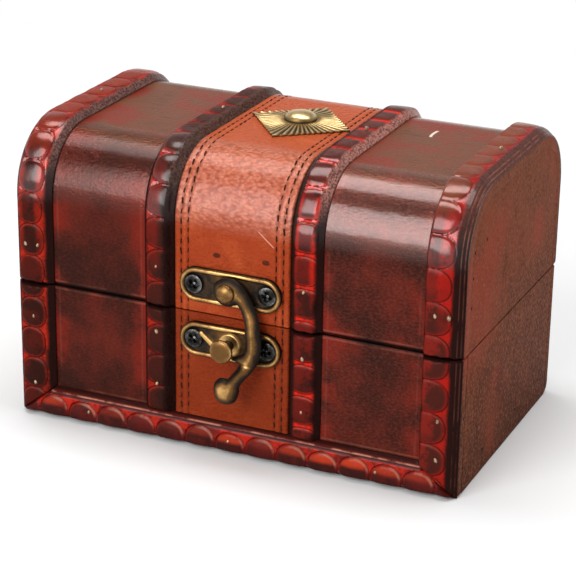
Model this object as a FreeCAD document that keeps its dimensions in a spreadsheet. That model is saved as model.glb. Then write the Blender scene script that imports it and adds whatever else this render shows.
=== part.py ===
import FreeCAD, Part
import os
from types import SimpleNamespace

import Sketcher
from FreeCAD import Placement, Rotation, Vector

# A small treasure chest: a wooden box with a rounded lid, bound with embossed straps and a leather band.
# Millimetres, X to the right, Y to the back, Z up. The origin is the middle of the underside.

SIZES = {
    # Boards of the box and the lid
    "chest_width": 119.0,
    "chest_depth": 70.0,
    "chest_height": 74.5,
    "seam_height": 36.0,
    "seam_gap": 0.4,
    "lid_corner_radius": 16.0,
    "panel_thickness": 3.0,
    "end_thickness": 6.0,
    "floor_thickness": 4.0,
    # Strap mouldings, bottom strip and leather band
    "end_strap_width": 10.0,
    "inner_strap_width": 8.2,
    "strap_height": 2.7,
    "strap_flank": 2.0,
    "strip_height": 8.0,
    "leather_width": 30.8,
    "leather_thickness": 0.8,
    # Clearances
    "glue_gap": 0.05,
    "joint_gap": 0.1,
    "hole_clearance": 0.05,
    "turn_clearance": 0.05,
    "slide_gap": 0.15,
    "overrun": 1.0,
    # Brads that nail the straps
    "brad_radius": 0.55,
    "brad_length": 5.0,
    "brad_stand": 0.15,
    "brad_spacing": 3.4,
    "lid_brad_rise": 10.7,
    # Plates of the hasp and the catch, and their screws
    "plate_end": 3.7,
    "plate_height": 8.8,
    "plate_thickness": 1.4,
    "plate_rim": 1.0,
    "dish_depth": 0.8,
    "boss_radius": 2.7,
    "hasp_rise": 7.6,
    "catch_drop": 6.7,
    "screw_spacing": 19.6,
    "screw_radius": 1.1,
    "screw_length": 4.0,
    "screw_head_radius": 2.3,
    "screw_head_height": 0.75,
    # Rivet, stud and hook
    "rivet_radius": 1.2,
    "rivet_head_radius": 2.4,
    "rivet_head_height": 1.3,
    "stud_neck_radius": 1.1,
    "stud_head_radius": 3.0,
    "stud_head_height": 1.7,
    "hook_tail": 14.3,
    "eye_radius": 3.7,
    "eye_thickness": 2.0,
    "arm_lift": 1.15,
    "arm_thickness": 2.2,
    "tail_lift": 4.75,
    "tail_thickness": 2.8,
    # Diamond ornament and its tack
    "ornament_thickness": 0.5,
    "ornament_rise": 0.7,
    "ornament_crown": 11.0,
    "ornament_shift": 1.4,
    "ornament_set_back": 36.0,
    "tack_radius": 0.9,
    "tack_length": 4.0,
    "tack_head_radius": 4.15,
    "tack_head_height": 2.2,
    # Hinges and their nails
    "leaf_width": 14.0,
    "leaf_reach": 9.0,
    "leaf_thickness": 0.8,
    "knuckle_radius": 1.4,
    "knuckle_width": 4.8,
    "knuckle_gap": 0.15,
    "hinge_pin_radius": 0.6,
    "nail_spacing": 8.0,
    "nail_rise": 6.2,
    "nail_radius": 0.5,
    "nail_length": 3.0,
    "nail_head_radius": 1.1,
    "nail_head_height": 0.5,
}

# Places along a strap or strip, as shares of the length that they follow
LEFT_BRAD_SHARES = (0.76, 0.25)
RIGHT_BRAD_SHARES = (0.56, 0.28)
INNER_BRAD_SHARES = (0.82, 0.43)
STRIP_BRAD_SHARES = (-0.33, 0.0, 0.33)
STRIP_BRAD_HEIGHT_SHARE = 0.45
MITRE_SHARE = 0.25

# The diamond's corners, turned a little from the chest's axes: shares of its half diagonal
CORNER_SHARES = ((0.995, -0.105), (0.105, 0.995), (-0.995, 0.105), (-0.105, -0.995))

# The hook as it hangs, from its pivot, to the right and down: shares of its span from the pivot to the
# stud, and under the stud (past 1) of its tail
HOOK_BACK_SHARES = ((0.24, -0.17), (0.46, 0.12), (0.63, 0.56), (0.68, 0.88), (0.57, 1.24), (0.38, 1.52))
HOOK_KNOB_SHARES = ((0.328, 1.76), (0.09, 2.0), (-0.146, 1.76), (-0.08, 1.6), (0.09, 1.524))
HOOK_SHANK_SHARES = ((0.25, 1.44), (0.274, 1.32), (0.274, 1.19), (0.234, 1.13))
HOOK_NOTCH_SHARES = ((0.224, 1.08), (0.314, 1.05), (0.372, 0.938), (0.406, 0.77), (0.4, 0.588), (0.3, 0.37))
EYE_FOOT_SHARES = (0.65, -0.76)
# Places along the hook where it starts to lift, lies level, lifts again, curls and ends: shares as above
LIFT_SHARES = (0.28, 0.66, 1.18, 1.43, 2.1)

TO_FRONT = Rotation(Vector(1, 0, 0), 90)
TO_BACK = Rotation(Vector(1, 0, 0), -90)
TO_RIGHT = Rotation(Vector(0, 1, 0), 90)
DOWN = Rotation(Vector(1, 0, 0), 180)
UP = Rotation()


class Length:
    """A length with its value and the formula that binds it to the sheet."""

    def __init__(self, value, formula):
        self.value = value
        self.formula = formula

    def combined(self, sign, other, value):
        text = other.formula if isinstance(other, Length) else repr(other)
        return Length(value, f"({self.formula} {sign} {text})")

    def __add__(self, other):
        return self.combined("+", other, self.value + amount(other))

    def __sub__(self, other):
        return self.combined("-", other, self.value - amount(other))

    def __mul__(self, other):
        return self.combined("*", other, self.value * amount(other))

    def __truediv__(self, other):
        return self.combined("/", other, self.value / amount(other))

    def __neg__(self):
        return Length(-self.value, f"(-{self.formula})")


def amount(other):
    """The number behind a length, or a plain number as it is."""
    return other.value if isinstance(other, Length) else other


def make_sheet(doc):
    """Fills the sheet of driving dimensions and returns them as lengths."""
    sheet = doc.addObject("Spreadsheet::Sheet", "Sizes")
    for row, (alias, value) in enumerate(SIZES.items(), start=1):
        sheet.set(f"A{row}", alias)
        sheet.set(f"B{row}", str(value))
        sheet.setAlias(f"B{row}", alias)
    doc.recompute()
    return SimpleNamespace(**{alias: Length(getattr(sheet, alias), f"Sizes.{alias}") for alias in SIZES})


DOC = FreeCAD.newDocument("treasure_chest")
size = make_sheet(DOC)
ZERO = Length(0.0, "0")

# Places that several pieces share
half_width = size.chest_width / 2
face = size.chest_depth / 2
base_top = size.seam_height - size.seam_gap / 2
lid_bottom = size.seam_height + size.seam_gap / 2
strap_foot = face + size.glue_gap
strap_crown = strap_foot + size.strap_height
leather_face = strap_foot + size.leather_thickness
leather_top = size.chest_height + size.glue_gap + size.leather_thickness
rim_face = leather_face + size.plate_thickness
dish_floor = rim_face - size.dish_depth
inner_strap_start = size.leather_width / 2 + size.joint_gap
inner_strap_middle = inner_strap_start + size.inner_strap_width / 2
end_strap_start = half_width - size.end_strap_width
end_strap_middle = half_width - size.end_strap_width / 2
hinge_axis = face + size.knuckle_radius
hinge_middle = (inner_strap_start + size.inner_strap_width + end_strap_start) / 2
hasp_height = size.seam_height + size.hasp_rise
catch_height = size.seam_height - size.catch_drop
hook_span = size.hasp_rise + size.catch_drop
plate_width = size.screw_spacing + size.plate_end * 2
stud_head_back = rim_face + size.arm_lift + size.arm_thickness + size.slide_gap * 2
ornament_half = size.leather_width / 2 - size.ornament_shift
ornament_back = size.ornament_set_back - face
ornament_top = leather_top + size.ornament_thickness + size.ornament_rise


def bind(target, lengths):
    """Ties an object's properties to the sheet."""
    for name, length in lengths.items():
        target.setExpression(name, length.formula)


def place(target, point, rotation):
    target.Placement = Placement(Vector(*(length.value for length in point)), rotation)
    bind(target, {f"Placement.Base.{axis}": length for axis, length in zip("xyz", point)})


def block(name, low, span):
    """A board from its lowest corner and its three sizes."""
    box = DOC.addObject("Part::Box", name)
    bind(box, dict(zip(("Length", "Width", "Height"), span)))
    place(box, low, UP)
    return box


def rod(name, start, direction, radius, length):
    """A round bar that runs from a point in a direction."""
    bar = DOC.addObject("Part::Cylinder", name)
    bind(bar, {"Radius": radius, "Height": length})
    place(bar, start, direction)
    return bar


def fused(name, shapes):
    joined = DOC.addObject("Part::MultiFuse", name)
    joined.Shapes = shapes
    return joined


def group(name, shapes):
    """Separate solids that share one node."""
    compound = DOC.addObject("Part::Compound", name)
    compound.Links = shapes
    return compound


def cut(name, base, tool):
    rest = DOC.addObject("Part::Cut", name)
    rest.Base = base
    rest.Tool = tool
    return rest


def new_body(name):
    return DOC.addObject("PartDesign::Body", name)


def new_sketch(body, name, plane, offset):
    """A sketch on one of the body's own origin planes, moved by an offset in the sketch's axes."""
    sketch = body.newObject("Sketcher::SketchObject", f"{body.Name}_{name}")
    support = next(feature for feature in body.Origin.OriginFeatures if feature.Role == plane)
    sketch.AttachmentSupport = [(support, "")]
    sketch.MapMode = "FlatFace"
    bind(sketch, {f"AttachmentOffset.Base.{axis}": length for axis, length in zip("xyz", offset)})
    return sketch


def limit(sketch, kind, where, length):
    """Adds one dimension to a sketch and ties it to the sheet."""
    index = sketch.addConstraint(Sketcher.Constraint(kind, *where, length.value))
    sketch.setExpression(f"Constraints[{index}]", length.formula)


def draw_edge(sketch, start, stop, arc):
    """A line, or an arc given by its centre and radius; returns the edge and which end it starts at."""
    if arc:
        (centre_x, centre_y), radius = arc
        hub = Vector(centre_x.value, centre_y.value, 0)
        middle = hub + ((start + stop) / 2 - hub).normalize() * radius.value
        edge = sketch.addGeometry(Part.Arc(start, middle, stop), False)
        limit(sketch, "Radius", (edge,), radius)
    else:
        edge = sketch.addGeometry(Part.LineSegment(start, stop), False)
    ends = [sketch.getPoint(edge, end).distanceToPoint(start) for end in (1, 2)]
    return edge, 1 if ends[0] < ends[1] else 2


def draw(sketch, points, arcs=None, closed=True):
    """A run of lines through points; arcs gives the centre and radius after a point's number."""
    arcs = arcs or {}
    corners = [Vector(across.value, up.value, 0) for across, up in points]
    count = len(corners) if closed else len(corners) - 1
    edges = []
    for number in range(count):
        stop = corners[(number + 1) % len(corners)]
        edge, first = draw_edge(sketch, corners[number], stop, arcs.get(number))
        limit(sketch, "DistanceX", (edge, first), points[number][0])
        limit(sketch, "DistanceY", (edge, first), points[number][1])
        edges.append((edge, first))
    followers = edges[1:] + (edges[:1] if closed else [])
    for (edge, first), (follower, start) in zip(edges, followers):
        sketch.addConstraint(Sketcher.Constraint("Coincident", edge, 3 - first, follower, start))
    if not closed:
        edge, first = edges[-1]
        limit(sketch, "DistanceX", (edge, 3 - first), points[-1][0])
        limit(sketch, "DistanceY", (edge, 3 - first), points[-1][1])


def draw_circle(sketch, across, up, radius):
    centre = Vector(across.value, up.value, 0)
    edge = sketch.addGeometry(Part.Circle(centre, Vector(0, 0, 1), radius.value), False)
    limit(sketch, "Radius", (edge,), radius)
    limit(sketch, "DistanceX", (edge, 3), across)
    limit(sketch, "DistanceY", (edge, 3), up)


def add_feature(body, kind, name, sketch):
    feature = body.newObject(f"PartDesign::{kind}", f"{body.Name}_{name}")
    feature.Profile = sketch
    return feature


def pad(body, sketch, length, sides="One side"):
    feature = add_feature(body, "Pad", "pad", sketch)
    feature.SideType = sides
    bind(feature, {"Length": length})


def pocket(body, name, sketch, depth):
    """Cuts from the sketch against its normal."""
    feature = add_feature(body, "Pocket", name, sketch)
    bind(feature, {"Length": depth})


def turn(body, sketch, axis):
    """Revolves a half section about one of the sketch's own axes."""
    feature = add_feature(body, "Revolution", "turning", sketch)
    feature.ReferenceAxis = (sketch, [axis])


def arch(offset):
    """The lid's outline, moved outwards by an offset: its points as Y and Z, and its corner arcs."""
    half = face + offset
    top = size.chest_height + offset
    radius = size.lid_corner_radius + offset
    points = [
        (-half, lid_bottom),
        (-half, top - radius),
        (radius - half, top),
        (half - radius, top),
        (half, top - radius),
        (half, lid_bottom),
    ]
    front_arc = ((radius - half, top - radius), radius)
    back_arc = ((half - radius, top - radius), radius)
    return points, front_arc, back_arc


def bent_sheet(name, inside, outside, left, width):
    """A sheet bent over the lid, between two offsets of its outline."""
    outer, outer_front, outer_back = arch(outside)
    inner, inner_front, inner_back = arch(inside)
    body = new_body(name)
    sketch = new_sketch(body, "outline", "YZ_Plane", (ZERO, ZERO, left))
    last = len(outer) + len(inner)
    arcs = {1: outer_front, 3: outer_back, last - 5: inner_back, last - 3: inner_front}
    draw(sketch, outer + inner[::-1], arcs)
    pad(body, sketch, width)
    return body


def lid_end(name, left):
    """An end board that fills the lid's outline inside the skin."""
    points, front_arc, back_arc = arch(-(size.panel_thickness + size.glue_gap))
    body = new_body(name)
    sketch = new_sketch(body, "outline", "YZ_Plane", (ZERO, ZERO, left))
    draw(sketch, points, {1: front_arc, 3: back_arc})
    pad(body, sketch, size.end_thickness)
    return body


def moulding(low, width):
    """The strap's section across its width: a flat foot, two slanted flanks and a crown."""
    high = low + width
    shoulder = strap_foot + size.strap_height - size.strap_flank
    return [
        (low, strap_foot),
        (low, shoulder),
        (low + size.strap_flank, strap_crown),
        (high - size.strap_flank, strap_crown),
        (high, shoulder),
        (high, strap_foot),
    ]


def lid_strap(name, left, width):
    """A strap that follows the lid from the front seam to the back seam."""
    body = new_body(name)
    section = new_sketch(body, "section", "XY_Plane", (ZERO, ZERO, lid_bottom))
    draw(section, [(across, -out) for across, out in moulding(left, width)])
    points, front_arc, back_arc = arch(size.glue_gap)
    path = new_sketch(body, "path", "YZ_Plane", (ZERO, ZERO, left))
    draw(path, points, {1: front_arc, 3: back_arc}, closed=False)
    pipe = add_feature(body, "AdditivePipe", "run", section)
    pipe.Spine = (path, [])
    return body


def front_strap(name, left, width, bottom):
    """A strap that stands on the front panel of the box."""
    body = new_body(name)
    section = new_sketch(body, "section", "XY_Plane", (ZERO, ZERO, bottom))
    draw(section, [(across, -out) for across, out in moulding(left, width)])
    pad(body, section, base_top - bottom)
    return body


def mitre(body, name, side, corner, back_off):
    """Cuts a body along the slant where an end strap meets the bottom strip."""
    spare = size.end_strap_width * MITRE_SHARE
    rise = size.strip_height * MITRE_SHARE
    high = (end_strap_start - spare - back_off, size.strip_height + rise)
    low = (half_width + spare - back_off, -rise)
    third = {"below": (high[0], low[1]), "beyond": (low[0], high[1])}[corner]
    sketch = new_sketch(body, name, "XZ_Plane", (ZERO, ZERO, strap_crown + size.overrun))
    draw(sketch, [(across * side, up) for across, up in (high, low, third)])
    pocket(body, f"{name}_cut", sketch, size.strap_height + size.overrun * 2)


def bottom_strip(name):
    """The strip along the foot of the front panel, mitred at both ends."""
    body = new_body(name)
    section = new_sketch(body, "section", "YZ_Plane", (ZERO, ZERO, ZERO))
    shoulder = strap_crown - size.strap_flank
    points = [
        (-strap_foot, ZERO),
        (-shoulder, ZERO),
        (-strap_crown, size.strap_flank),
        (-strap_crown, size.strip_height - size.strap_flank),
        (-shoulder, size.strip_height),
        (-strap_foot, size.strip_height),
    ]
    draw(section, points)
    pad(body, section, size.chest_width, "Symmetric")
    mitre(body, "right_mitre", 1, "beyond", size.joint_gap)
    mitre(body, "left_mitre", -1, "beyond", size.joint_gap)
    return body


def draw_obround(sketch, width, height):
    """A slot shape about the sketch's origin, its round ends as quarter arcs."""
    radius = height / 2
    flat = width / 2 - radius
    points = [
        (flat, -radius),
        (width / 2, ZERO),
        (flat, radius),
        (-flat, radius),
        (-(width / 2), ZERO),
        (-flat, -radius),
    ]
    right = ((flat, ZERO), radius)
    left = ((-flat, ZERO), radius)
    draw(sketch, points, {0: right, 1: right, 3: left, 4: left})


def latch_plate(name, height, pin_radius):
    """A dished plate with a raised rim, a boss for its pin and two screw holes."""
    body = new_body(name)
    outline = new_sketch(body, "outline", "XZ_Plane", (ZERO, height, leather_face))
    draw_obround(outline, plate_width, size.plate_height)
    pad(body, outline, size.plate_thickness)
    dish = new_sketch(body, "dish", "XZ_Plane", (ZERO, height, rim_face))
    rims = size.plate_rim * 2
    draw_obround(dish, plate_width - rims, size.plate_height - rims)
    draw_circle(dish, ZERO, ZERO, size.boss_radius)
    pocket(body, "dish_cut", dish, size.dish_depth)
    holes = new_sketch(body, "holes", "XZ_Plane", (ZERO, height, rim_face))
    draw_circle(holes, ZERO, ZERO, pin_radius + size.hole_clearance)
    for side in (-0.5, 0.5):
        draw_circle(holes, size.screw_spacing * side, ZERO, size.screw_radius + size.hole_clearance)
    pocket(body, "hole_cut", holes, size.plate_thickness + size.overrun)
    return body


def dome(head_radius, head_height):
    """The radius of a round cap over a flat head."""
    return (head_radius * head_radius + head_height * head_height) / (head_height * 2)


def headed_pin(name, plane, offset, axis, points, crown):
    """A turned pin with a domed head: half section as distance along the axis and radius."""
    body = new_body(name)
    section = new_sketch(body, "section", plane, offset)
    along = [(reach, radius) if axis == "H_Axis" else (radius, reach) for reach, radius in points]
    centre = (crown[0], ZERO) if axis == "H_Axis" else (ZERO, crown[0])
    draw(section, along, {len(points) - 2: (centre, crown[1])})
    turn(body, section, axis)
    return body


def front_pin(name, height, shank_radius, head_back, head_radius, head_height):
    """A pin that stands out of a latch plate, peened flush behind it."""
    radius = dome(head_radius, head_height)
    tip = head_back + head_height
    points = [
        (-leather_face, ZERO),
        (-leather_face, shank_radius),
        (-head_back, shank_radius),
        (-head_back, head_radius),
        (-tip, ZERO),
    ]
    return headed_pin(name, "YZ_Plane", (ZERO, height, ZERO), "H_Axis", points, (radius - tip, radius))


def ornament_tack(name):
    """The tack whose dome sits on the diamond's crown."""
    radius = dome(size.tack_head_radius, size.tack_head_height)
    points = [
        (-size.tack_length, ZERO),
        (-size.tack_length, size.tack_radius),
        (ZERO, size.tack_radius),
        (ZERO, size.tack_head_radius),
        (size.tack_head_height, ZERO),
    ]
    offset = (size.ornament_shift, ornament_top, -ornament_back)
    crown = (size.tack_head_height - radius, radius)
    return headed_pin(name, "XZ_Plane", offset, "V_Axis", points, crown)


def diamond(half):
    return [(half * across, half * up) for across, up in CORNER_SHARES]


def ornament_plate(name):
    """A square plate set on its corner, rising to a flat crown under the tack."""
    body = new_body(name)
    origin = (size.ornament_shift, ornament_back)
    rim_top = leather_top + size.ornament_thickness
    foot = new_sketch(body, "foot", "XY_Plane", (*origin, leather_top))
    draw(foot, diamond(ornament_half))
    pad(body, foot, size.ornament_thickness)
    shoulder = new_sketch(body, "shoulder", "XY_Plane", (*origin, rim_top))
    draw(shoulder, diamond(ornament_half))
    crown = new_sketch(body, "crown", "XY_Plane", (*origin, ornament_top))
    draw(crown, diamond(size.ornament_crown / 2))
    loft = add_feature(body, "AdditiveLoft", "rise", shoulder)
    loft.Sections = [crown]
    hole = new_sketch(body, "hole", "XY_Plane", (*origin, ornament_top))
    draw_circle(hole, ZERO, ZERO, size.tack_radius + size.hole_clearance)
    pocket(body, "hole_cut", hole, size.ornament_thickness + size.ornament_rise + size.overrun)
    return body


def hook_drop(share):
    """How far a place on the hook lies under its pivot: along its span, then along its tail."""
    upper = min(share, 1)
    return hook_span.value * upper + size.hook_tail.value * (share - upper)


def hook_point(share):
    """A point of the hook's outline in the chest's frame."""
    across, down = share
    return Vector(hook_span.value * across, 0, hasp_height.value - hook_drop(down))


def smooth(points):
    curve = Part.BSplineCurve()
    curve.interpolate(points)
    return curve.toShape()


def hook_outline():
    """The hook seen from the front: eye, bowed arm, curled tail, shank and notch with its nib."""
    eye = size.eye_radius.value
    pivot = Vector(0, 0, hasp_height.value)
    eye_top = pivot + Vector(0, 0, eye)
    eye_left = pivot - Vector(eye, 0, 0)
    eye_foot = pivot + Vector(eye * EYE_FOOT_SHARES[0], 0, eye * EYE_FOOT_SHARES[1])
    back, knob, shank, notch = (
        [hook_point(share) for share in shares]
        for shares in (HOOK_BACK_SHARES, HOOK_KNOB_SHARES, HOOK_SHANK_SHARES, HOOK_NOTCH_SHARES)
    )
    edges = [
        smooth([eye_top, *back, knob[0]]),
        Part.Arc(*knob[:3]).toShape(),
        Part.Arc(*knob[2:]).toShape(),
        Part.LineSegment(knob[-1], shank[0]).toShape(),
        smooth(shank),
        Part.LineSegment(shank[-1], notch[0]).toShape(),
        smooth([*notch, eye_foot]),
        Part.Arc(eye_foot, eye_left, eye_top).toShape(),
    ]
    return Part.Face(Part.Wire(edges))


def hook_side(levels):
    """The line of one face of the hook seen from the side: its distance to the front at each height."""
    rim = rim_face.value
    top = hasp_height.value
    heights = [size.eye_radius.value * 2] + [-hook_drop(share) for share in LIFT_SHARES]
    eye, arm, tail = levels
    outs = (eye, eye, arm, arm, tail, tail)
    return [Vector(0, -rim - out, top + height) for out, height in zip(outs, heights)]


def latch_hook(name):
    """The hook: its front outline, bowed in its side view and bored for the rivet."""
    eye_front = size.slide_gap + size.eye_thickness
    backs = (size.slide_gap.value, size.arm_lift.value, size.tail_lift.value)
    fronts = (eye_front.value, (size.arm_lift + size.arm_thickness).value,
              (size.tail_lift + size.tail_thickness).value)
    side = hook_side(backs) + hook_side(fronts)[::-1]
    reach = (hook_span + size.hook_tail).value
    band = Part.Face(Part.makePolygon(side + side[:1])).extrude(Vector(reach * 2, 0, 0))
    band.translate(Vector(-reach, 0, 0))
    outline = hook_outline().extrude(Vector(0, -(rim_face.value + reach), 0))
    bore_radius = (size.rivet_radius + size.turn_clearance).value
    pivot = Vector(0, 0, hasp_height.value)
    bore = Part.makeCylinder(bore_radius, rim_face.value + reach, pivot, Vector(0, -1, 0))
    hook = DOC.addObject("Part::Feature", name)
    hook.Shape = outline.common(band).cut(bore).Solids[0]
    hook.Placement = Placement()
    return hook


def hinge_knuckle_slots(name, middle, spans, high, low):
    """Room in a leaf for the other leaf's knuckles."""
    depth = size.knuckle_radius * 2 + size.overrun * 2
    slots = []
    for number, (start, width) in enumerate(spans):
        corner = (middle + start, face - size.overrun, low)
        slots.append(block(f"{name}_slot_{number}", corner, (width, depth, high - low)))
    return slots


def hinge_leaf(name, middle, holds, leaf_low, leaf_high, slot_low, slot_high):
    """One leaf of a hinge: a plate with its own knuckles, bored for the pin and the nails."""
    half = size.leaf_width / 2
    start = (middle - half, hinge_axis, size.seam_height)
    plate = block(f"{name}_plate", (middle - half, face, leaf_low),
                  (size.leaf_width, size.leaf_thickness, leaf_high - leaf_low))
    barrel = rod(f"{name}_barrel", start, TO_RIGHT, size.knuckle_radius, size.leaf_width)
    room = size.knuckle_width / 2 + size.knuckle_gap
    inner = size.knuckle_width / 2
    outside = half + size.overrun
    spans = {
        "outer": [(-room, room * 2)],
        "middle": [(-outside, outside - inner), (inner, outside - inner)],
    }[holds]
    bore = rod(f"{name}_bore", start, TO_RIGHT, size.hinge_pin_radius + size.turn_clearance, size.leaf_width)
    tools = [bore, *hinge_knuckle_slots(name, middle, spans, slot_high, slot_low)]
    return cut(f"{name}_blank", fused(f"{name}_joined", [plate, barrel]), group(f"{name}_tools", tools))


def brad(holes, name, point, direction):
    """A headless nail through a strap, and its hole."""
    hole_radius = size.brad_radius + size.hole_clearance
    holes.append(rod(f"{name}_hole", point, direction, hole_radius, size.brad_length))
    return rod(name, point, direction, size.brad_radius, size.brad_length)


def headed(holes, name, point, inwards, outwards, shank, head):
    """A screw or nail with a flat head, and its hole: shank and head are radius and length pairs."""
    holes.append(rod(f"{name}_hole", point, inwards, shank[0] + size.hole_clearance, shank[1]))
    bars = [rod(f"{name}_shank", point, inwards, *shank), rod(f"{name}_head", point, outwards, *head)]
    return fused(name, bars)


def plate_screws(holes, name, height):
    shank = (size.screw_radius, size.screw_length)
    head = (size.screw_head_radius, size.screw_head_height)
    screws = []
    for number, side in enumerate((-0.5, 0.5)):
        point = (size.screw_spacing * side, -dish_floor, height)
        screws.append(headed(holes, f"{name}_{number}", point, TO_BACK, TO_FRONT, shank, head))
    return group(name, screws)


def hinge_nails(holes, name, height):
    shank = (size.nail_radius, size.nail_length)
    head = (size.nail_head_radius, size.nail_head_height)
    nails = []
    for hinge in (-1, 1):
        for side in (-0.5, 0.5):
            across = hinge_middle * hinge + size.nail_spacing * side
            point = (across, face + size.leaf_thickness, height)
            nails.append(headed(holes, f"{name}_{len(nails)}", point, TO_FRONT, TO_BACK, shank, head))
    return group(name, nails)


def base_brads(holes, name):
    """The brads in the straps and the bottom strip on the front of the box."""
    out = -(strap_crown + size.brad_stand)
    rows = (
        (-end_strap_middle, LEFT_BRAD_SHARES),
        (-inner_strap_middle, INNER_BRAD_SHARES),
        (inner_strap_middle, INNER_BRAD_SHARES),
        (end_strap_middle, RIGHT_BRAD_SHARES),
    )
    points = [(across, out, size.seam_height * share) for across, shares in rows for share in shares]
    low = size.strip_height * STRIP_BRAD_HEIGHT_SHARE
    points += [(size.chest_width * share, out, low) for share in STRIP_BRAD_SHARES]
    return group(name, [brad(holes, f"{name}_{n}", point, TO_BACK) for n, point in enumerate(points)])


def lid_brads(holes, name):
    """The brads in the lid's straps: pairs in the end straps at the front and back, one on each top."""
    out = strap_crown + size.brad_stand
    height = size.seam_height + size.lid_brad_rise
    crown = size.chest_height + size.glue_gap + size.strap_height + size.brad_stand
    pair = size.brad_spacing / 2
    straps = (
        (end_strap_middle, (-pair, pair)),
        (inner_strap_middle, (ZERO,)),
    )
    brads = []
    for side in (-1, 1):
        for middle, shifts in straps:
            across = middle * side
            brads.append(brad(holes, f"{name}_{len(brads)}", (across, ZERO, crown), DOWN))
            for shift in shifts:
                for out_side, direction in ((-1, TO_BACK), (1, TO_FRONT)):
                    point = (across + shift, out * out_side, height)
                    brads.append(brad(holes, f"{name}_{len(brads)}", point, direction))
    return group(name, brads)


def build_base():
    """The box: boards, straps, leather band, catch and the hinges' lower leaves."""
    holes = []
    inside_depth = size.chest_depth - size.panel_thickness * 2
    inside_width = size.chest_width - size.end_thickness * 2
    panel = (size.chest_width, size.panel_thickness, base_top)
    end = (size.end_thickness, inside_depth, base_top)
    inside_front = size.panel_thickness - face
    front = block("base_front_blank", (-half_width, -face, ZERO), panel)
    back = block("base_back_blank", (-half_width, face - size.panel_thickness, ZERO), panel)
    whole = [
        block("base_left_end", (-half_width, inside_front, ZERO), end),
        block("base_right_end", (half_width - size.end_thickness, inside_front, ZERO), end),
        block("base_floor", (size.end_thickness - half_width, inside_front, ZERO),
              (inside_width, inside_depth, size.floor_thickness)),
        latch_plate("catch_plate", catch_height, size.stud_neck_radius),
        front_pin("catch_stud", catch_height, size.stud_neck_radius, stud_head_back,
                  size.stud_head_radius, size.stud_head_height),
        plate_screws(holes, "catch_screws", catch_height),
        base_brads(holes, "base_brads"),
        hinge_nails(holes, "base_hinge_nails", size.seam_height - size.nail_rise),
    ]
    above_strip = size.strip_height + size.joint_gap
    left = front_strap("base_left_strap_blank", -half_width, size.end_strap_width, ZERO)
    right = front_strap("base_right_strap_blank", end_strap_start, size.end_strap_width, ZERO)
    mitre(left, "mitre", -1, "below", ZERO)
    mitre(right, "mitre", 1, "below", ZERO)
    band = block("base_leather_blank", (-(size.leather_width / 2), -leather_face, above_strip),
                 (size.leather_width, size.leather_thickness, base_top - above_strip))
    inner_width = size.inner_strap_width
    inner_left = -(inner_strap_start + inner_width)
    drilled = {
        "base_front_panel": front,
        "base_back_panel": back,
        "base_left_strap": left,
        "base_right_strap": right,
        "base_inner_left_strap": front_strap("base_inner_left_blank", inner_left, inner_width, above_strip),
        "base_inner_right_strap": front_strap("base_inner_right_blank", inner_strap_start, inner_width,
                                              above_strip),
        "bottom_strip": bottom_strip("bottom_strip_blank"),
        "base_leather_band": band,
    }
    slot_low = size.seam_height - size.knuckle_radius - size.knuckle_gap
    slot_high = size.seam_height + size.knuckle_radius + size.overrun
    for word, side in (("left", -1), ("right", 1)):
        middle = hinge_middle * side
        drilled[f"base_{word}_hinge_leaf"] = hinge_leaf(
            f"base_{word}_leaf", middle, "outer", size.seam_height - size.leaf_reach, size.seam_height,
            slot_low, slot_high)
        start = (middle - size.leaf_width / 2, hinge_axis, size.seam_height)
        whole.append(rod(f"{word}_hinge_pin", start, TO_RIGHT, size.hinge_pin_radius, size.leaf_width))
    return whole + drill("base_holes", drilled, holes)


def build_lid():
    """The lid: bent skin, end boards, straps, leather band, ornament, hasp and the hinges' upper leaves."""
    holes = []
    tack_start = (size.ornament_shift, ornament_back, ornament_top)
    holes.append(rod("tack_hole", tack_start, DOWN, size.tack_radius + size.hole_clearance, size.tack_length))
    rivet_back = rim_face + size.slide_gap * 2 + size.eye_thickness
    whole = [
        lid_end("lid_left_end", -half_width),
        lid_end("lid_right_end", half_width - size.end_thickness),
        ornament_plate("ornament_plate"),
        ornament_tack("ornament_tack"),
        latch_plate("hasp_plate", hasp_height, size.rivet_radius),
        front_pin("hasp_rivet", hasp_height, size.rivet_radius, rivet_back,
                  size.rivet_head_radius, size.rivet_head_height),
        plate_screws(holes, "hasp_screws", hasp_height),
        lid_brads(holes, "lid_brads"),
        hinge_nails(holes, "lid_hinge_nails", size.seam_height + size.nail_rise),
    ]
    end_width = size.end_strap_width
    inner_width = size.inner_strap_width
    inner_left = -(inner_strap_start + inner_width)
    leather_out = size.glue_gap + size.leather_thickness
    drilled = {
        "lid_skin": bent_sheet("lid_skin_blank", -size.panel_thickness, ZERO, -half_width, size.chest_width),
        "lid_leather_band": bent_sheet("lid_leather_blank", size.glue_gap, leather_out,
                                       -(size.leather_width / 2), size.leather_width),
        "lid_left_strap": lid_strap("lid_left_blank", -half_width, end_width),
        "lid_inner_left_strap": lid_strap("lid_inner_left_blank", inner_left, inner_width),
        "lid_inner_right_strap": lid_strap("lid_inner_right_blank", inner_strap_start, inner_width),
        "lid_right_strap": lid_strap("lid_right_blank", end_strap_start, end_width),
    }
    slot_low = size.seam_height - size.knuckle_radius - size.overrun
    slot_high = size.seam_height + size.knuckle_radius + size.knuckle_gap
    for word, side in (("left", -1), ("right", 1)):
        drilled[f"lid_{word}_hinge_leaf"] = hinge_leaf(
            f"lid_{word}_leaf", hinge_middle * side, "middle", size.seam_height,
            size.seam_height + size.leaf_reach, slot_low, slot_high)
    return whole + drill("lid_holes", drilled, holes)


def drill(name, blanks, holes):
    """Cuts the holes of a body's pins into each of its pieces that they pass."""
    tool = group(name, holes)
    return [cut(label, blank, tool) for label, blank in blanks.items()]


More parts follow.
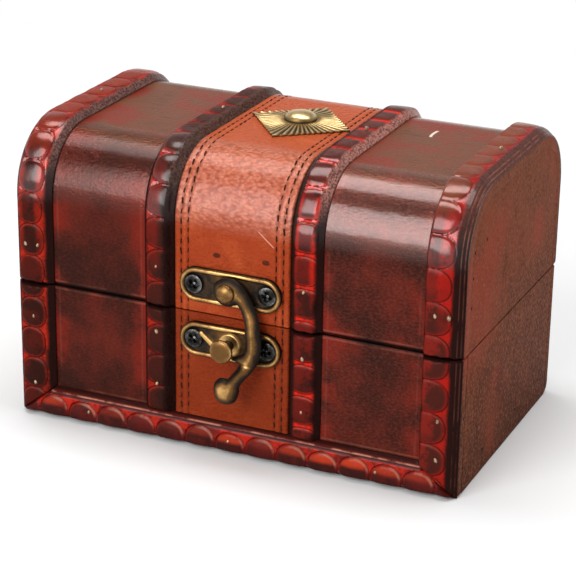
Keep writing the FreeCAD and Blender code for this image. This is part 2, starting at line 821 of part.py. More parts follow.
def check(pieces):
    """Stops on any object that failed and any piece without a sound solid."""
    failed = [item.Label for item in DOC.Objects if {"Invalid", "Error"} & set(item.State)]
    unsound = [item.Label for item in pieces if item.Shape.isNull() or not item.Shape.isValid()]
    hollow = [item.Label for item in pieces if not item.Shape.Solids]
    if failed or unsound or hollow:
        raise RuntimeError(f"failed: {failed}, unsound: {unsound}, without a solid: {hollow}")


def main():
    pieces = [*build_base(), *build_lid(), latch_hook("latch_hook")]
    DOC.recompute()
    check(pieces)
    os.makedirs("parts", exist_ok=True)
    for piece in pieces:
        piece.Shape.exportStep(os.path.join("parts", f"{piece.Label}.step"))
        print(f"{piece.Label}: {len(piece.Shape.Solids)} solids, {piece.Shape.Volume:.1f} mm3")


main()
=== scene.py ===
"""Dresses a small treasure chest: stained boards, embossed straps, stitched leather and a brass latch."""

import logging
import math
from dataclasses import dataclass, field
from enum import Enum
from functools import partialmethod
from typing import Sequence

import bmesh
import bpy
import numpy as np
from mathutils import Matrix, Vector
from mathutils.geometry import delaunay_2d_cdt


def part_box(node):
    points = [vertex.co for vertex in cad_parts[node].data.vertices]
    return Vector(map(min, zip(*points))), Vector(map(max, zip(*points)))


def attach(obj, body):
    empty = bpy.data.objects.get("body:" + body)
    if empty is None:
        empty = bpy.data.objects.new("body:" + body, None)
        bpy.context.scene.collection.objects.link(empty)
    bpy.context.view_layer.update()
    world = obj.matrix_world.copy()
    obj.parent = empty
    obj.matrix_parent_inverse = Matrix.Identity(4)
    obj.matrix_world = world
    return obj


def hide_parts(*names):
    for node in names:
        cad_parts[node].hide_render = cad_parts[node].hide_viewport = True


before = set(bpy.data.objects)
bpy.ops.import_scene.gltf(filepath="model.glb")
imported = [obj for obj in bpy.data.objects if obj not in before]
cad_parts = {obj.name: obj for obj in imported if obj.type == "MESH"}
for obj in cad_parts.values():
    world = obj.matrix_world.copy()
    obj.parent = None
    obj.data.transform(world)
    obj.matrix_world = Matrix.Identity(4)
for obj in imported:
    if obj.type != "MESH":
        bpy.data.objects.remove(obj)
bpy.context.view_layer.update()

log = logging.getLogger("treasure_chest")
Array = np.ndarray
Material = bpy.types.Material
Colour = tuple[float, float, float]
Pair = tuple[float, float]
Run = list[Pair]
Faces = list[Sequence[int]]
Spots = tuple[Array, Array, Array]

MM = 0.001
CREASE_DEGREES = 38.0
COAT_IOR = 1.9
LATTICE_CELLS = 64
WELD = 0.01
HASH_TURN = 12.9898
HASH_SPREAD = 43758.5453


class Body(Enum):
    """The moving bodies that pieces ride on."""

    BASE = "base"
    LID = "lid"
    HOOK = "hook"


class Slot(Enum):
    """The record's material slots."""

    WOOD = "stained_wood"
    STRAP = "embossed_strap"
    LEATHER = "tan_leather"
    BRASS = "antique_brass"
    STEEL = "dark_steel"
    BRAD = "brad_steel"
    HINGE = "hinge_brass"


def srgb(red: int, green: int, blue: int) -> Colour:
    """A colour as it is seen on screen, from 0 to 255, turned to linear light."""
    shares = (channel / 255 for channel in (red, green, blue))
    return tuple(s / 12.92 if s <= 0.04045 else ((s + 0.055) / 1.055) ** 2.4 for s in shares)


def node_box(node: str) -> tuple[Array, Array]:
    """The lowest and highest corner of a CAD node in millimetres."""
    low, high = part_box(node)
    return np.array(low) / MM, np.array(high) / MM


def node_solids(node: str) -> list[tuple[Array, Array]]:
    """The boxes of the separate solids in a CAD node.

    Args:
        node: The node's name.

    Returns:
        The lowest and highest corner of each solid in millimetres, in a steady order.
    """
    mesh = bmesh.new()
    mesh.from_mesh(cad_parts[node].data)
    bmesh.ops.remove_doubles(mesh, verts=mesh.verts, dist=WELD * MM)
    left = set(mesh.verts)
    boxes = []
    while left:
        queue = [left.pop()]
        found = []
        while queue:
            vertex = queue.pop()
            found.append(tuple(vertex.co))
            neighbours = {edge.other_vert(vertex) for edge in vertex.link_edges} & left
            left -= neighbours
            queue.extend(neighbours)
        points = np.array(found) / MM
        boxes.append((points.min(axis=0), points.max(axis=0)))
    mesh.free()
    return sorted(boxes, key=lambda box: tuple(np.round(box[0], 2)))


class Value:
    """A shader socket that takes part in Python expressions."""

    def __init__(self, weave: "Weave", socket: bpy.types.NodeSocket) -> None:
        """Keeps the socket and the tree that it belongs to."""
        self.weave = weave
        self.socket = socket

    def math(self, operation: str, *others: "Value | float", first: "Value | float | None" = None) -> "Value":
        """Adds a Math node.

        Args:
            operation: The node's operation.
            others: The values after this one.
            first: A value that stands before this one.

        Returns:
            The node's result.
        """
        values = (self, *others) if first is None else (first, self, *others)
        node = self.weave.add("ShaderNodeMath", {"operation": operation}, dict(enumerate(values)))
        return Value(self.weave, node.outputs[0])

    __add__ = __radd__ = partialmethod(math, "ADD")
    __mul__ = __rmul__ = partialmethod(math, "MULTIPLY")
    __sub__ = partialmethod(math, "SUBTRACT")
    __truediv__ = partialmethod(math, "DIVIDE")
    __pow__ = partialmethod(math, "POWER")
    __abs__ = partialmethod(math, "ABSOLUTE")
    low = partialmethod(math, "MINIMUM")
    high = partialmethod(math, "MAXIMUM")

    def __rsub__(self, other: float) -> "Value":
        """A number less this value."""
        return self.math("SUBTRACT", first=other)

    def step(self, start: float, stop: float) -> "Value":
        """A smooth step.

        Args:
            start: Where the result is 0.
            stop: Where the result is 1.

        Returns:
            The step, from 0 to 1.
        """
        ends = {"Value": self, "From Min": start, "From Max": stop}
        node = self.weave.add("ShaderNodeMapRange", {"interpolation_type": "SMOOTHSTEP"}, ends)
        return Value(self.weave, node.outputs[0])

    def mix(self, other: "Value | Colour", share: "Value | float") -> "Value":
        """This colour with another one laid over it."""
        return self.weave.mix(self, other, share)

    def band(self, middle: float, half: float) -> "Value":
        """A soft line that is 1 at a middle value and 0 beyond a half width."""
        return abs(self - middle).step(half, 0.0)


Number = Array | Value


def whole(number: Number) -> Number:
    """The whole part of an array or of a shader's value."""
    return number.math("FLOOR") if isinstance(number, Value) else np.floor(number)


def sine(angle: Number) -> Number:
    """The sine of an array or of a shader's value."""
    return angle.math("SINE") if isinstance(angle, Value) else np.sin(angle)


class Weave:
    """A node tree that is filled from Python."""

    def __init__(self, tree: bpy.types.NodeTree) -> None:
        """Keeps the tree."""
        self.tree = tree

    def add(self, kind: str, settings: dict | None = None, sockets: dict | None = None) -> bpy.types.Node:
        """Adds a node.

        Args:
            kind: The node's type.
            settings: Its properties, set first.
            sockets: Values or links by the socket's name or number.

        Returns:
            The node.
        """
        node = self.tree.nodes.new(kind)
        for name, setting in (settings or {}).items():
            setattr(node, name, setting)
        for key, value in (sockets or {}).items():
            source = value.socket if isinstance(value, Value) else value
            if isinstance(source, bpy.types.NodeSocket):
                self.tree.links.new(source, node.inputs[key])
            elif isinstance(source, tuple) and node.inputs[key].type == "RGBA":
                node.inputs[key].default_value = (*source, 1.0)
            else:
                node.inputs[key].default_value = source
        return node

    def value(self, node: bpy.types.Node, output: str | int = 0) -> Value:
        """One output of a node as a value."""
        return Value(self, node.outputs[output])

    def place(self) -> Value:
        """The piece's own coordinates in metres."""
        return self.value(self.add("ShaderNodeTexCoord"), "Object")

    def surface(self) -> Value:
        """The piece's own map, which follows its surface in millimetres."""
        return self.value(self.add("ShaderNodeUVMap", {"uv_map": "surface"}), "UV")

    def attribute(self, name: str) -> Value:
        """A number stored on the piece's points."""
        return self.value(self.add("ShaderNodeAttribute", {"attribute_name": name}), "Fac")

    def parts(self, vector: Value) -> tuple[Value, Value, Value]:
        """The three numbers of a vector."""
        node = self.add("ShaderNodeSeparateXYZ", sockets={0: vector})
        return tuple(self.value(node, number) for number in range(3))

    def mapped(self, vector: Value, scale: Sequence[float], turn: Sequence[float] = (0.0, 0.0, 0.0)) -> Value:
        """Turns and stretches coordinates.

        Args:
            vector: The coordinates.
            scale: The stretch along each axis.
            turn: The turn about each axis in degrees.

        Returns:
            The mapped coordinates.
        """
        angles = tuple(math.radians(angle) for angle in turn)
        sockets = {"Vector": vector, "Scale": tuple(scale), "Rotation": angles}
        return self.value(self.add("ShaderNodeMapping", sockets=sockets))

    def noise(self, vector: Value, scale: float, detail: float = 3.0, rough: float = 0.5) -> Value:
        """Cloudy noise around a half."""
        sockets = {"Vector": vector, "Scale": scale, "Detail": detail, "Roughness": rough}
        return self.value(self.add("ShaderNodeTexNoise", sockets=sockets), "Fac")

    def cells(self, vector: Value, scale: float, feature: str = "F1") -> Value:
        """The distance within scattered cells."""
        sockets = {"Vector": vector, "Scale": scale}
        return self.value(self.add("ShaderNodeTexVoronoi", {"feature": feature}, sockets), "Distance")

    def mix(self, first: "Value | Colour", second: "Value | Colour", share: "Value | float") -> Value:
        """Blends two colours."""
        sockets = {0: share, 6: first, 7: second}
        return self.value(self.add("ShaderNodeMix", {"data_type": "RGBA"}, sockets), 2)

    def bump(self, height: Value, distance: float, strength: float = 1.0) -> Value:
        """A normal from a height whose unit is the distance in metres."""
        sockets = {"Height": height, "Distance": distance, "Strength": strength}
        return self.value(self.add("ShaderNodeBump", sockets=sockets))


def cleared(owner: Material | bpy.types.World) -> Weave:
    """Empties the tree of a material or a world.

    Args:
        owner: What the tree belongs to.

    Returns:
        The empty tree.
    """
    owner.use_nodes = True
    owner.node_tree.nodes.clear()
    return Weave(owner.node_tree)


@dataclass(frozen=True)
class Finish:
    """A named finish with one main shader."""

    name: str

    def dress(self, weave: Weave) -> dict:
        """Fills the tree and gives the shader's sockets; each finish has its own way."""
        raise NotImplementedError

    def material(self) -> Material:
        """Makes the material.

        Returns:
            The material.
        """
        material = bpy.data.materials.new(self.name)
        weave = cleared(material)
        shader = weave.add("ShaderNodeBsdfPrincipled", sockets=self.dress(weave))
        weave.add("ShaderNodeOutputMaterial", sockets={"Surface": shader.outputs[0]})
        return material


def lacquer(weight: Value, rough: float = 0.18) -> dict:
    """The sockets of a glossy coat."""
    return {"Coat Weight": weight, "Coat Roughness": rough, "Coat IOR": COAT_IOR}


@dataclass(frozen=True)
class Chest:
    """The chest's main measures in millimetres, read from the CAD nodes."""

    half_width: float
    face: float
    seam: float
    top: float
    lid_foot: float
    strip_top: float
    inner_strap: Pair
    end_strap: Pair
    corner_radius: float = 16.0

    @classmethod
    def read(cls) -> "Chest":
        """Reads the measures from the CAD nodes.

        Returns:
            The measures.
        """
        skin_low, skin_high = node_box("lid_skin")
        panel_high = node_box("base_front_panel")[1]
        inner_low, inner_high = node_box("lid_inner_right_strap")
        end_low, end_high = node_box("lid_right_strap")
        return cls(
            half_width=float(skin_high[0]),
            face=float(skin_high[1]),
            seam=float((skin_low[2] + panel_high[2]) / 2),
            top=float(skin_high[2]),
            lid_foot=float(skin_low[2]),
            strip_top=float(node_box("bottom_strip")[1][2]),
            inner_strap=(float(inner_low[0]), float(inner_high[0])),
            end_strap=(float(end_low[0]), float(end_high[0])),
        )


CHEST = Chest.read()


@dataclass(frozen=True)
class LidLine:
    """The line over the lid from the front seam to the back seam, measured at a height over the skin."""

    lift: float = 0.0

    @property
    def rise(self) -> float:
        """The straight stretch at the front and at the back."""
        return CHEST.top - CHEST.corner_radius - CHEST.lid_foot

    @property
    def bend(self) -> float:
        """The length of one rounded corner."""
        return (CHEST.corner_radius + self.lift) * math.pi / 2

    @property
    def flat(self) -> float:
        """The flat stretch on the top."""
        return 2 * (CHEST.face - CHEST.corner_radius)

    @property
    def length(self) -> float:
        """The whole line."""
        return 2 * (self.rise + self.bend) + self.flat

    def at(self, along: Array) -> tuple[Array, Array]:
        """Points on the skin and their outward directions.

        Args:
            along: Distances from the front seam.

        Returns:
            Points and directions, each with Y and Z in the last axis.
        """
        half = self.length / 2
        near = np.minimum(along, 2 * half - along)
        side = np.where(along < half, -1.0, 1.0)
        angle = held((near - self.rise) / self.bend) * math.pi / 2
        climb = np.minimum(near, self.rise)
        inward = np.maximum(near - self.rise - self.bend, 0.0)
        radius = CHEST.corner_radius
        across = CHEST.face - radius + radius * np.cos(angle) - inward
        up = CHEST.lid_foot + climb + radius * np.sin(angle)
        points = np.stack([side * across, up], axis=-1)
        normals = np.stack([side * np.cos(angle), np.sin(angle)], axis=-1)
        return points, normals


class FrontLine:
    """The line up the front of the box, measured from the floor."""

    def at(self, along: Array) -> tuple[Array, Array]:
        """Points on the front and their outward directions.

        Args:
            along: Heights over the floor.

        Returns:
            Points and directions, each with Y and Z in the last axis.
        """
        points = np.stack([np.full_like(along, -CHEST.face), along], axis=-1)
        normals = np.stack([np.full_like(along, -1.0), np.zeros_like(along)], axis=-1)
        return points, normals


Line = LidLine | FrontLine


def carrier(body: Body, lift: float) -> Line:
    """The line that carries a strip: over the lid, or up the front of the box."""
    return LidLine(lift) if body is Body.LID else FrontLine()


def grid_faces(rows: int, columns: int) -> Faces:
    """Faces of a closed tube whose rings are the rows, with both ends capped.

    Args:
        rows: How many rings.
        columns: How many points each ring has.

    Returns:
        The faces as point numbers.
    """
    start = np.arange(rows - 1)[:, None] * columns
    here = np.arange(columns)[None, :]
    after = (here + 1) % columns
    quads = np.stack([start + here, start + after, start + columns + after, start + columns + here], axis=-1)
    last = (rows - 1) * columns
    return quads.reshape(-1, 4).tolist() + [list(range(columns))[::-1], [last + n for n in range(columns)]]


def fan_faces(rings: int, columns: int) -> Faces:
    """Faces of a dome: rings around a first point, closed by one face under the last ring.

    Args:
        rings: How many rings follow the first point.
        columns: How many points each ring has.

    Returns:
        The faces as point numbers.
    """
    after = [(n + 1) % columns for n in range(columns)]
    faces: Faces = [(0, 1 + n, 1 + after[n]) for n in range(columns)]
    for ring in range(rings - 1):
        low = 1 + ring * columns
        high = low + columns
        faces += [(low + n, high + n, high + after[n], low + after[n]) for n in range(columns)]
    last = 1 + (rings - 1) * columns
    return faces + [[last + n for n in range(columns)][::-1]]


@dataclass(frozen=True)
class Home:
    """Where a piece belongs: its body, its slot and the CAD nodes that it stands for."""

    body: Body
    slot: Slot
    nodes: tuple[str, ...] = ()


def settle(piece: bpy.types.Object, home: Home) -> None:
    """Hangs a finished piece on its body and hides the CAD nodes that it stands for.

    Args:
        piece: The piece.
        home: Its body, slot and nodes.
    """
    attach(piece, home.body.value)
    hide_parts(*home.nodes)
    log.info("%s on %s: %d faces", piece.name, home.body.value, len(piece.data.polygons))


@dataclass
class Form:
    """A closed mesh in millimetres with what its finish reads."""

    points: Array
    faces: Faces
    surface: Array | None = None
    marks: dict[str, Array] = field(default_factory=dict)

    def mesh(self, name: str) -> bpy.types.Mesh:
        """Makes the mesh with outward faces and creased corners.

        Args:
            name: The mesh's name.

        Returns:
            The mesh in metres.
        """
        mesh = bpy.data.meshes.new(name)
        mesh.from_pydata((self.points * MM).tolist(), [], self.faces)
        shell = bmesh.new()
        shell.from_mesh(mesh)
        bmesh.ops.recalc_face_normals(shell, faces=shell.faces)
        limit = math.radians(CREASE_DEGREES)
        for face in shell.faces:
            face.smooth = True
        for edge in shell.edges:
            edge.smooth = edge.calc_face_angle(0.0) < limit
        shell.to_mesh(mesh)
        shell.free()
        for mark, values in self.marks.items():
            attribute = mesh.attributes.new(mark, "FLOAT", "POINT")
            attribute.data.foreach_set("value", np.asarray(values, np.float32).ravel())
        if self.surface is not None:
            corners = np.zeros(len(mesh.loops), np.int32)
            mesh.loops.foreach_get("vertex_index", corners)
            layer = mesh.uv_layers.new(name="surface")
            layer.data.foreach_set("uv", self.surface[corners].astype(np.float32).ravel())
        return mesh

    def piece(self, name: str, material: Material, home: Home) -> None:
        """Makes a finished piece.

        Args:
            name: The piece's name.
            material: Its material.
            home: Where it belongs.
        """
        piece = bpy.data.objects.new(name, self.mesh(name))
        piece.data.materials.append(material)
        bpy.context.scene.collection.objects.link(piece)
        settle(piece, home)


def below(grid: Array) -> Array:
    """Closes the rows of a strip: each is followed by its last and its first value."""
    return np.concatenate([grid, grid[:, [-1, 0]]], axis=1)


def strip_form(line: Line, along: Array, across: Array, heights: Array, seat: float,
               middle: float = 0.0) -> Form:
    """A strip that lies on a line, with a flat back.

    Args:
        line: The line that carries the strip.
        along: Distances along the line, with one row for each ring.
        across: Distances from the strip's middle.
        heights: Heights of the face over the line.
        seat: How far the back stands off the line.
        middle: Where the strip's middle lies from side to side.

    Returns:
        The form, whose map holds the distances along and across.
    """
    points, normals = line.at(along)
    face = points + normals * heights[..., None]
    back = points + normals * seat
    ring = np.concatenate([face, back[:, [-1, 0]]], axis=1)
    wide = below(across)
    grid = np.concatenate([(wide + middle)[..., None], ring], axis=-1).reshape(-1, 3)
    surface = np.stack([below(along), wide], axis=-1).reshape(-1, 2)
    return Form(grid, grid_faces(len(along), ring.shape[1]), surface)


def spread_form(across: Array, aside: Array, up: Array, top: float, foot: float,
                wear: Array, end_wear: Pair) -> Form:
    """A form that spreads from a middle point in rings and ends in a wall.

    Args:
        across: X of each point, with one row for each ring.
        aside: Y of each point.
        up: Z of each point.
        top: Z of the middle point.
        foot: Z of the wall's lower border.
        wear: How rubbed each point is; on the screw heads it also carries a painted glint.
        end_wear: The same for the middle point and for the wall.

    Returns:
        The closed form with its wear.
    """
    rings, columns = across.shape
    grid = np.stack([across, aside, up], axis=-1).reshape(-1, 3)
    wall = np.column_stack([across[-1], aside[-1], np.full(columns, foot)])
    points = np.concatenate([[[0.0, 0.0, top]], grid, wall])
    rubbed = np.concatenate([[end_wear[0]], wear.ravel(), np.full(columns, end_wear[1])])
    return Form(points, fan_faces(rings + 1, columns), marks={"wear": rubbed})


def held(values: Array) -> Array:
    """Values held between 0 and 1."""
    return np.clip(values, 0.0, 1.0)


def bell(distance: Array, width: float, power: int = 2) -> Array:
    """A soft hill: 1 at no distance, falling off over a width."""
    return np.exp(-((distance / width) ** power))


def lattice(along: Array, across: Array, pitch: Pair, seed: int) -> Array:
    """Smooth random heights.

    Args:
        along: One coordinate.
        across: The other.
        pitch: The distance between hills along each coordinate.
        seed: The seed of the random heights.

    Returns:
        Heights between -1 and 1.
    """
    table = np.random.default_rng(seed).uniform(-1.0, 1.0, (LATTICE_CELLS, LATTICE_CELLS))
    places = np.stack(np.broadcast_arrays(along / pitch[0], across / pitch[1]))
    cells = np.floor(places).astype(int)
    shares = places - cells
    first, second = shares * shares * (3 - 2 * shares)
    row, column = cells % LATTICE_CELLS
    after_row, after_column = (cells + 1) % LATTICE_CELLS
    near = table[row, column] * (1 - first) + table[after_row, column] * first
    far = table[row, after_column] * (1 - first) + table[after_row, after_column] * first
    return near * (1 - second) + far * second


def ripple(along: Array, across: Array, pitch: float) -> Array:
    """A gentle unevenness from a few waves.

    Args:
        along: One coordinate.
        across: The other.
        pitch: The rough length of a wave.

    Returns:
        Heights between about -1 and 1.
    """
    turn = 2 * math.pi / pitch
    first = np.sin(along * turn + 1.7 * np.sin(across * turn * 0.37 + 0.6))
    second = np.sin(across * turn * 0.81 + 1.3 * np.sin(along * turn * 0.53 + 2.1))
    third = np.sin((along + across) * turn * 1.43 + 4.0)
    return (first + second + 0.5 * third) / 2.5


def smooth_low(first: Array, second: Array, blend: float) -> Array:
    """The smaller of two heights with a rounded change between them."""
    mixing = held(0.5 + 0.5 * (second - first) / blend)
    return second * (1 - mixing) + first * mixing - blend * mixing * (1 - mixing)


@dataclass(frozen=True)
class Scales:
    """A row of embossed scales along a strap, in millimetres."""

    pitch: float = 8.3
    shift: float = 0.0
    half: float = 4.0
    power: float = 3.0
    phase: float = 0.0
    lift: float = 0.58
    groove: float = 0.22
    wander: float = 0.22
    squeeze: float = 0.48
    groove_share: float = 0.05
    wander_turn: float = 2.4

    def place(self, along: Number, across: Number) -> tuple[Number, Number, Number, Number]:
        """Where places lie in their scales, on a mesh or in a shader.

        Args:
            along: Distances along the strap.
            across: Distances from the strap's middle.

        Returns:
            The reach, which is 1 on a scale's border, the scale's number, and the place in the scale along
            and across the strap.
        """
        turns = along / self.pitch + self.phase
        number = whole(turns)
        middle = self.shift + self.wander * sine(number * self.wander_turn)
        inside = turns - number - 0.5
        sides = (abs(across - middle) / self.half) ** self.power
        ends = (abs(inside) / self.squeeze) ** self.power
        return (sides + ends) ** (1 / self.power), number, inside, across - middle

    def relief(self, along: Array, across: Array) -> Array:
        """The height of the scales and their grooves.

        Args:
            along: Distances along the strap.
            across: Distances from the strap's middle.

        Returns:
            The height at each place.
        """
        reach = self.place(along, across)[0]
        pillow = 1 - held(reach) ** 3
        return self.lift * pillow - self.groove * bell(reach - 1.0, self.groove_share)


@dataclass(frozen=True)
class Section:
    """A strap's section in millimetres: two sloping flanks and a slightly crowned top."""

    left_run: float = 1.3
    right_run: float = 1.6
    crown: float = 2.15
    foot: float = 0.4
    blend: float = 0.7
    fall: float = 0.10

    def height(self, across: Array, half: float) -> Array:
        """The plain height.

        Args:
            across: Places across the strap.
            half: Half the strap's width.

        Returns:
            The height at each place.
        """
        rise = self.crown - self.foot
        left = self.foot + (across + half) * rise / self.left_run
        right = self.foot + (half - across) * rise / self.right_run
        top = self.crown - self.fall * (across / half) ** 2
        return smooth_low(smooth_low(left, right, self.blend), top, self.blend)


@dataclass(frozen=True)
class StrapSpot:
    """A place on a strap as its finish sees it: on the strap, on its scale, on the chest and in the noise."""

    place: Value
    along: Value
    across: Value
    reach: Value
    inside: Value
    aside: Value
    lot: Value
    up: Value
    on_top: Value
    cloud: Value
    fine: Value


@dataclass(frozen=True)
class StrapFinish(Finish):
    """Lacquered straps: bright red between the scales, antiqued scales and dark flanks."""

    scales: Scales
    section: Section
    half_width: float
    gap: Colour
    scale: Colour
    stain: Colour
    flank: Colour = srgb(34, 14, 11)
    # Pale colour of the flanks' painted highlight near the lid's top.
    flank_highlight: Colour = srgb(178, 120, 108)
    streak: Colour = srgb(150, 92, 74)
    top: Colour = srgb(112, 38, 23)
    groove: Colour = srgb(50, 8, 6)
    # Pale colour of the scales' rims, partly wear and partly painted highlight, and of the ledge's painted
    # highlight.
    wear_and_highlight: Colour = srgb(214, 128, 106)
    # The strip's orange: partly the lacquer's own colour, partly a painted glint.
    blush_and_glint: Colour = srgb(222, 66, 26)
    ledge: Colour = srgb(78, 25, 20)
    staining: float = 0.5
    lean: float = 0.10
    creep: float = 0.0
    # How far a painted shadow widens the dark left flank over the crown.
    left_shadow: float = 0.0
    topping: float = 0.0
    # How much the scales' sides take the gaps' red on the lid's front, as painted light.
    lit_red_share: float = 0.3
    wear_and_highlight_share: float = 0.08
    streaking: float = 0.0
    blush_and_glint_share: float = 0.0
    gloss: float = 0.02
    rough: float = 0.26
    crinkle: float = 0.05
    mirror: float = 0.30
    mottling: float = 0.75
    is_strip: bool = False

    def spot(self, weave: Weave) -> StrapSpot:
        """Reads a place on the strap.

        Args:
            weave: The material's tree.

        Returns:
            The place.
        """
        along, across, _ = weave.parts(weave.surface())
        reach, number, inside, aside = self.scales.place(along, across)
        lot = (sine(number * HASH_TURN) * HASH_SPREAD).math("FRACT")
        place = weave.place()
        up = weave.parts(place)[2] / MM
        on_top = up.step(CHEST.top - 6.0, CHEST.top - 0.5)
        cloud = weave.noise(place, 230.0, 4.0, 0.6)
        fine = weave.noise(place, 1300.0, 3.0, 0.65)
        return StrapSpot(place, along, across, reach, inside, aside, lot, up, on_top, cloud, fine)

    def scale_paint(self, weave: Weave, at: StrapSpot) -> Value:
        """The antiqued scales and the bright red between them.

        Args:
            weave: The material's tree.
            at: The place.

        Returns:
            The colour.
        """
        cloud, fine, aside = at.cloud, at.fine, at.aside
        scale = (at.reach + (cloud - 0.5) * 0.24).step(1.08, 0.76)
        patch = cloud + (at.lot - 0.5) * 0.25 + aside * self.lean / self.half_width + (fine - 0.5) * 0.4
        stained = patch.step(0.60 - 0.3 * self.staining, 0.84 - 0.3 * self.staining)
        painted = weave.mix(self.scale, self.stain, stained * 0.9)
        # Painted shade: each scale darkens towards its lower end, except on the lid's top.
        low_end = (at.inside + (cloud - 0.5) * 0.5).step(0.02, -0.5)
        painted = painted.mix(self.stain, low_end * 0.6 * (1 - at.on_top))
        painted = painted.mix(self.top, at.on_top * (0.35 + cloud * 0.6))
        between = weave.mix(self.gap, self.scale, (cloud + (fine - 0.5) * 0.4).step(0.42, 0.64) * 0.85)
        colour = weave.mix(between, painted, scale)
        if self.blush_and_glint_share:
            # Orange on the upper side of some strip scales, more towards the right end: partly the lacquer's
            # own colour, partly a painted glint.
            bright = scale * aside.step(0.3, 2.4) * (at.lot * 0.7 + at.along.step(30.0, 105.0) * 0.5)
            blush_and_glint = (bright + (cloud - 0.5) * 0.5).step(0.10, 1.05)
            colour = colour.mix(self.blush_and_glint, blush_and_glint * self.blush_and_glint_share)
            # Painted shade: the strip darkens towards its lower edge, under the scales' bulge.
            colour = colour.mix(self.stain, (at.across + (cloud - 0.5) * 3.0).step(-0.2, -3.4) * 0.75)
        # Painted light: on the lid's front, between the seam and the rounding, the scales' sides take the
        # bright red of the gaps.
        lit = at.up.step(CHEST.seam, CHEST.top - 14.0)
        sides = lit * (1 - at.on_top) * abs(aside).step(1.1, 2.7) * cloud.step(0.72, 0.45)
        colour = colour.mix(self.gap, sides * self.lit_red_share)
        if self.topping:
            colour = colour.mix(self.top, at.on_top * aside.step(4.6, 2.2) * self.topping)
        return colour.mix(self.stain, fine.step(0.54, 0.74) * 0.4)

    def rim_and_ledge_paint(self, weave: Weave, at: StrapSpot) -> Value:
        """The scales with dark grooves and pale rims on their upper edges, partly wear and partly painted
        highlight, and the strip with its ledge, which has a painted highlight line and painted shade in its
        grooves.

        Args:
            weave: The material's tree.
            at: The place.

        Returns:
            The colour.
        """
        crease = at.reach.band(1.0, 0.07) * at.cloud.step(0.26, 0.46) * (0.85 - 0.6 * at.on_top)
        colour = weave.mix(self.scale_paint(weave, at), self.groove, crease)
        if not self.is_strip:
            # Pale rims on the scales' upper edges: partly wear, partly painted highlight.
            rim = at.inside.step(0.12, 0.40) * at.reach.band(0.93, 0.08) * at.cloud.step(0.34, 0.56)
            return colour.mix(self.wear_and_highlight, rim * self.wear_and_highlight_share)
        # On the strip, pale rims on the upper side of the scales: partly wear, partly painted highlight.
        rim = at.inside.step(-0.25, 0.25) * at.aside.step(0.2, 1.8) * at.reach.band(0.93, 0.12)
        colour = colour.mix(self.wear_and_highlight, rim * at.cloud.step(0.30, 0.5) * self.wear_and_highlight_share)
        # Painted highlight: a pale line along the ledge. Painted shade: dark bands in the groove at the
        # ledge's foot and along the strip's top edge, next to the panel.
        ledge_highlight = at.across.band(3.05, 0.28) * at.cloud.step(0.40, 0.60) * 0.55
        sunk = at.across.band(2.35, 0.4) * 0.7 + at.across.step(3.3, 3.7) * 0.8
        ledge = weave.mix(weave.mix(self.ledge, self.wear_and_highlight, ledge_highlight), self.flank, sunk)
        return colour.mix(ledge, at.across.step(2.1, 2.4))

    def flank_share(self, at: StrapSpot) -> Value:
        """How far a place lies on the strap's flanks, widened on the left by a painted shadow over the
        crown's edge; the strip has only the lower one.

        Args:
            at: The place.

        Returns:
            The share, from 0 to 1.
        """
        edge = at.across + (at.cloud - 0.5) * 0.9
        # A painted shadow widens the dark left flank over the crown's edge.
        left = self.section.left_run - self.half_width + self.left_shadow
        right = self.half_width - self.section.right_run - self.creep
        flank = edge.step(left + 0.5, left - 0.5)
        return flank if self.is_strip else flank.high(edge.step(right - 0.5, right + 0.6))

    def flank_paint(self, weave: Weave, at: StrapSpot) -> Value:
        """The dark flanks, which get a pale, mottled painted highlight near the lid's top and are streaked
        towards it.

        Args:
            weave: The material's tree.
            at: The place.

        Returns:
            The colour.
        """
        mottle = weave.noise(at.place, 1700.0, 2.0, 0.6).step(0.36, 0.62)
        # Painted highlight: the right-hand flank turns pale and mottled near the lid's top.
        lit = at.up.step(CHEST.top - 12.0, CHEST.top - 3.0) * at.across.step(-0.4, 0.4)
        side = weave.mix(self.flank, self.flank_highlight, lit * (1 - self.mottling + self.mottling * mottle))
        raised = at.up.step(CHEST.top - 20.0, CHEST.top - 9.0)
        inset = self.half_width - at.across
        lines = inset.band(0.55, 0.2).high(inset.band(1.35, 0.2)) * (0.25 + 0.75 * raised)
        return weave.mix(side, self.streak, lines * at.cloud.step(0.36, 0.6) * self.streaking)

    def dress(self, weave: Weave) -> dict:
        """Fills the tree.

        Args:
            weave: The material's tree.

        Returns:
            The shader's sockets.
        """
        at = self.spot(weave)
        round_part = rounding(weave)
        flank = self.flank_share(at)
        colour = weave.mix(self.rim_and_ledge_paint(weave, at), self.flank_paint(weave, at), flank)
        # Painted shade: a dark band at the seam between lid and box, where the gap is.
        colour = colour.mix(self.flank, abs(at.up - CHEST.seam).step(0.9, 0.5))
        height = weave.noise(at.place, 900.0, 3.0, 0.55) * 0.6 + weave.noise(at.place, 2600.0, 2.0, 0.5) * 0.4
        return {
            "Base Color": colour,
            "Metallic": round_part * (self.mirror + 0.25 * flank),
            "Roughness": self.rough + 0.20 * (at.fine - 0.3) + 0.12 * flank,
            "Normal": weave.bump(height * (1 + 2.5 * flank), self.crinkle * 4 * MM, 0.5),
            "Specular IOR Level": 0.02,
            **lacquer((self.gloss + 0.42 * round_part) * (1 - flank * 0.55)),
        }


def rounding(weave: Weave) -> Value:
    """How far a place lies on the lid's rounded corners.

    Args:
        weave: The material's tree.

    Returns:
        1 there and 0 on the flat faces.
    """
    _, aside, up = (part / MM for part in weave.parts(weave.place()))
    start = CHEST.top - CHEST.corner_radius
    inner = CHEST.face - CHEST.corner_radius
    return up.step(start - 2.0, start + 4.0) * abs(aside).step(inner - 1.0, inner + 4.0)


